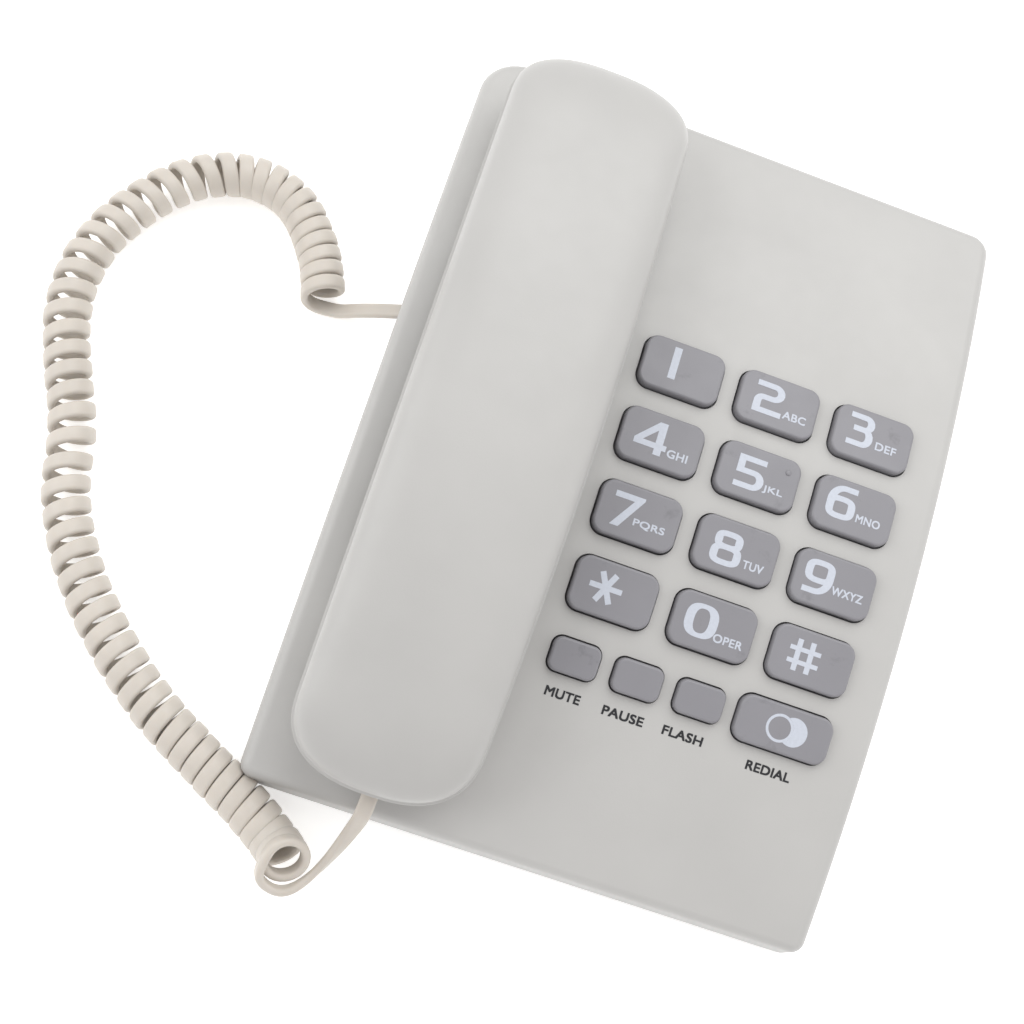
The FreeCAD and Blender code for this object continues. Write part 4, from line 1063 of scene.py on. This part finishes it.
def make_redial_mark():
    outer, inner = [superellipse(radius, radius, 2.0) for radius in (RING_OUTER, RING_INNER)]
    tip = crossing_angle(DISC_RADIUS, BITE_RADIUS)
    tip_inner = crossing_angle(BITE_RADIUS, DISC_RADIUS)
    disc = elliptic_arc(DISC_OFFSET, 0, DISC_RADIUS, DISC_RADIUS, tip - 180, 180 - tip, 40)
    bite = elliptic_arc(0, 0, BITE_RADIUS, BITE_RADIUS, tip_inner, -tip_inner, 24)
    meshes = [prism(outer, inner), prism(disc + bite[1:-1])]
    meshes = [shifted(mesh, *MARK_PLACE) for mesh in meshes]
    place = face_matrix(key_middle("key_redial"), REDIAL_BELOW, KEY_RISE - INK_SINK)
    print_piece("key_redial_legend", meshes, place, "white_ink", "key_redial")


def make_labels():
    for word, x, below, width in LABELS:
        meshes = letters(word, width, LABEL_HEIGHT, LABEL_GROW)
        place = face_matrix(x, below, -INK_SINK)
        print_piece("label_" + word.lower(), meshes, place, "black_ink", "base")


def make_key_dot():
    """The small dome that fingers feel on the 5."""
    rings = []
    for step in range(6):
        turn = math.pi / 2 * step / 6
        radius = DOT_RADIUS * math.cos(turn)
        height = DOT_HEIGHT * math.sin(turn)
        rings.append([(x, y, height) for x, y in superellipse(radius, radius, 2.0, 20)])
    foot = [(x, y, -DOT_FOOT) for x, y, z in rings[0]]
    vertices, faces = joined_rings([foot] + rings)
    mesh = shifted(mesh_from("dot", vertices, faces), *DOT_PLACE)
    place = face_matrix(key_middle("key_5"), ROW_PITCH, KEY_RISE)
    new_piece("key_5_dot", one_mesh("key_5_dot", [mesh], place), "key", "key_5")


# ---------------------------------------------------------------- curly cord


RIBBON_WIDTH = 4.15 * MM
RIBBON_THICK = 2.1 * MM
RIBBON_CORNER = 0.88 * MM
COIL_RADIUS = 6.15 * MM
TURN_POINTS = 28
# the coil ends at this share of a turn
LAST_TURN = 18 / TURN_POINTS
COIL_ROUTE = (
    (-96.9, 31.0, 6.4),
    (-98.8, 37.4, 6.4),
    (-104.4, 47.1, 6.4),
    (-113.5, 57.6, 6.4),
    (-128.0, 60.8, 6.4),
    (-142.2, 54.2, 6.4),
    (-153.6, 39.6, 6.4),
    (-160.2, 22.6, 6.4),
    (-160.0, 4.4, 6.4),
    (-152.6, -13.0, 6.4),
    (-144.4, -29.0, 6.4),
    (-140.4, -46.0, 6.4),
    (-130.4, -62.8, 6.4),
    (-114.6, -79.4, 6.4),
    (-97.4, -92.0, 6.4),
    (-86.6, -97.6, 6.4),
    (-77.4, -102.4, 6.4),
    (-67.4, -107.6, 6.5),
    (-60.5, -112.2, 7.0),
    (-57.0, -115.2, 10.0),
    (-56.0, -116.8, 14.0),
)
# how far apart the turns are at distances along the coil, from its base end
TURN_PITCH = (
    (0, 6.4),
    (2.5, 5.5),
    (5, 4.4),
    (45, 4.4),
    (58, 6.0),
    (120, 6.2),
    (136, 5.6),
    (156, 7.0),
    (175, 5.9),
    (200, 5.5),
    (232, 5.1),
    (240, 4.4),
    (290, 4.4),
)
BASE_LEAD = ((-74.1, 33.0, 12.0), (-79.0, 32.7, 9.6), (-87.0, 32.0, 4.9), (-91.2, 31.5, 2.0))
# places of the bent lead to the handset, each with the direction the flat side faces there
HANDSET_LEAD = (
    ((-60.9, -122.4, 11.0), (-0.75, -0.6, -0.05)),
    ((-55.7, -123.6, 7.8), (-0.1, -0.93, -0.3)),
    ((-51.3, -120.9, 6.6), (0.6, -0.78, -0.25)),
    ((-46.4, -112.7, 8.5), (0.8, -0.55, 0.1)),
    ((-43.0, -103.6, 14.5), (0.4, -0.5, 0.77)),
)
HANDSET_EXIT = (-42.5, -96.3, 23.7)
PLUG_HEADING = (0.0, 0.935, 0.355)
# how far the leads run straight on from the coil's two ends and out of the plug
COIL_START_RUN, COIL_END_RUN, PLUG_RUN = 3 * MM, 3.5 * MM, 5 * MM
COIL_END_FACING = (-0.93, -0.1, 0.15)


def spline_points(control):
    """Points along the NURBS spline of those control points, read from a curve with no bevel."""
    curve = bpy.data.curves.new("route", "CURVE")
    curve.dimensions = "3D"
    curve.resolution_u = 24
    spline = curve.splines.new("NURBS")
    spline.points.add(len(control) - 1)
    for point, place in zip(spline.points, control):
        point.co = (*place, 1.0)
    spline.order_u = 3
    spline.use_endpoint_u = True
    holder = bpy.data.objects.new("route", curve)
    mesh = bpy.data.meshes.new_from_object(holder)
    points = np.array([vertex.co for vertex in mesh.vertices], float)
    bpy.data.meshes.remove(mesh)
    bpy.data.objects.remove(holder)
    bpy.data.curves.remove(curve)
    return points


def distances(points):
    steps = np.linalg.norm(np.diff(points, axis=0), axis=1)
    return np.concatenate(([0.0], np.cumsum(steps)))


def between(wanted, along, values):
    """Rows of values, known at distances along a line, at the wanted distances."""
    return np.stack([np.interp(wanted, along, values[:, axis]) for axis in range(3)], 1)


def at_distances(points, wanted):
    return between(wanted, distances(points), points)


def unit(vectors):
    return vectors / np.linalg.norm(vectors, axis=-1, keepdims=True)


def headings(points):
    return unit(np.gradient(points, axis=0))


def coil_line():
    """The ribbon's centreline along the coil and its outward directions."""
    spine = spline_points([tuple(value * MM for value in point) for point in COIL_ROUTE])
    along = np.arange(0, distances(spine)[-1], 0.05 * MM)
    stations, pitches = zip(*TURN_PITCH)
    pitch = np.interp(along, np.array(stations) * MM, np.array(pitches) * MM)
    turns = np.concatenate(([0.0], np.cumsum(np.diff(along) / pitch[:-1])))
    whole = math.floor(turns[-1] - LAST_TURN) + LAST_TURN
    wanted = np.arange(0, whole + 1e-9, 1 / TURN_POINTS)
    place = np.interp(wanted, turns, along)
    centre = at_distances(spine, place)
    reach = 0.4 * MM
    forward = unit(at_distances(spine, place + reach) - at_distances(spine, place - reach))
    side = unit(np.cross(forward, np.array(UP)))
    top = np.cross(side, forward)
    angle = (2 * math.pi * wanted + math.pi)[:, None]
    outward = np.cos(angle) * top + np.sin(angle) * side
    wobble = 1 + 0.012 * np.sin(2.3 * wanted) + 0.008 * np.sin(5.1 * wanted + 1)
    radius = (COIL_RADIUS - RIBBON_THICK / 2) * wobble[:, None]
    return centre + outward * radius, outward


def lead_line(control, normals):
    """A lead's centreline, and the directions its flat side faces, both along one spline."""
    points = spline_points(control)
    facing = spline_points(normals)
    along = distances(points)
    even = np.linspace(0, along[-1], 60)
    return at_distances(points, even), between(even, along, facing)


def ribbon_section():
    """A flat section with round edges, as pairs of width and thickness."""
    corner = RIBBON_CORNER
    wide, thick = RIBBON_WIDTH / 2 - corner, RIBBON_THICK / 2 - corner
    middles = ((0, wide, thick), (90, -wide, thick), (180, -wide, -thick), (270, wide, -thick))
    pairs = []
    for start, x, y in middles:
        for step in range(4):
            turn = math.radians(start + 30 * step)
            pairs.append((x + corner * math.cos(turn), y + corner * math.sin(turn)))
    return pairs


def sweep_ribbon(points, normals):
    """Mesh of the flat cord along a line."""
    forward = headings(points)
    normals = unit(normals - forward * np.sum(normals * forward, axis=1, keepdims=True))
    sideways = np.cross(normals, forward)
    rings = []
    for point, across, outward in zip(points, sideways, normals):
        rings.append([point + across * wide + outward * thick for wide, thick in ribbon_section()])
    return joined_rings(rings)


def make_cord():
    coil, outward = coil_line()
    start_heading = unit((coil[1] - coil[0]) * (1, 1, 0))
    end_heading = unit(coil[-1] - coil[-2])
    base = [np.array(place) * MM for place in BASE_LEAD]
    base += [coil[0] - start_heading * COIL_START_RUN, coil[0]]
    downward = [(0, 0, -1)] * (len(base) - 1)
    base_points, base_normals = lead_line(base, downward + [tuple(outward[0])])
    exit_place = np.array(HANDSET_EXIT) * MM
    plug_up = Vector((1, 0, 0)).cross(Vector(PLUG_HEADING))
    lead = [coil[-1], coil[-1] + end_heading * COIL_END_RUN]
    facing = [tuple(outward[-1]), COIL_END_FACING]
    for place, normal in HANDSET_LEAD:
        lead.append(np.array(place) * MM)
        facing.append(normal)
    lead += [exit_place - np.array(PLUG_HEADING) * PLUG_RUN, exit_place]
    lead_points, lead_normals = lead_line(lead, facing + [tuple(plug_up)] * 2)
    line = np.concatenate((base_points[:-1], coil, lead_points[1:]))
    normals = np.concatenate((base_normals[:-1], outward, lead_normals[1:]))
    vertices, faces = sweep_ribbon(line, normals)
    mesh = mesh_from("curly_cord", vertices, faces)
    mesh.materials.append(MATERIALS["cord"])
    mesh.shade_smooth()
    cord = bpy.data.objects.new("curly_cord", mesh)
    bpy.context.scene.collection.objects.link(cord)
    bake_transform(cord)
    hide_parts("cord_coil", "cord_base_lead", "cord_handset_lead")


make_camera()
make_studio()
finish_cad_nodes()
make_cord()
make_handset()
make_key_legends()
make_redial_mark()
make_key_dot()
make_labels()
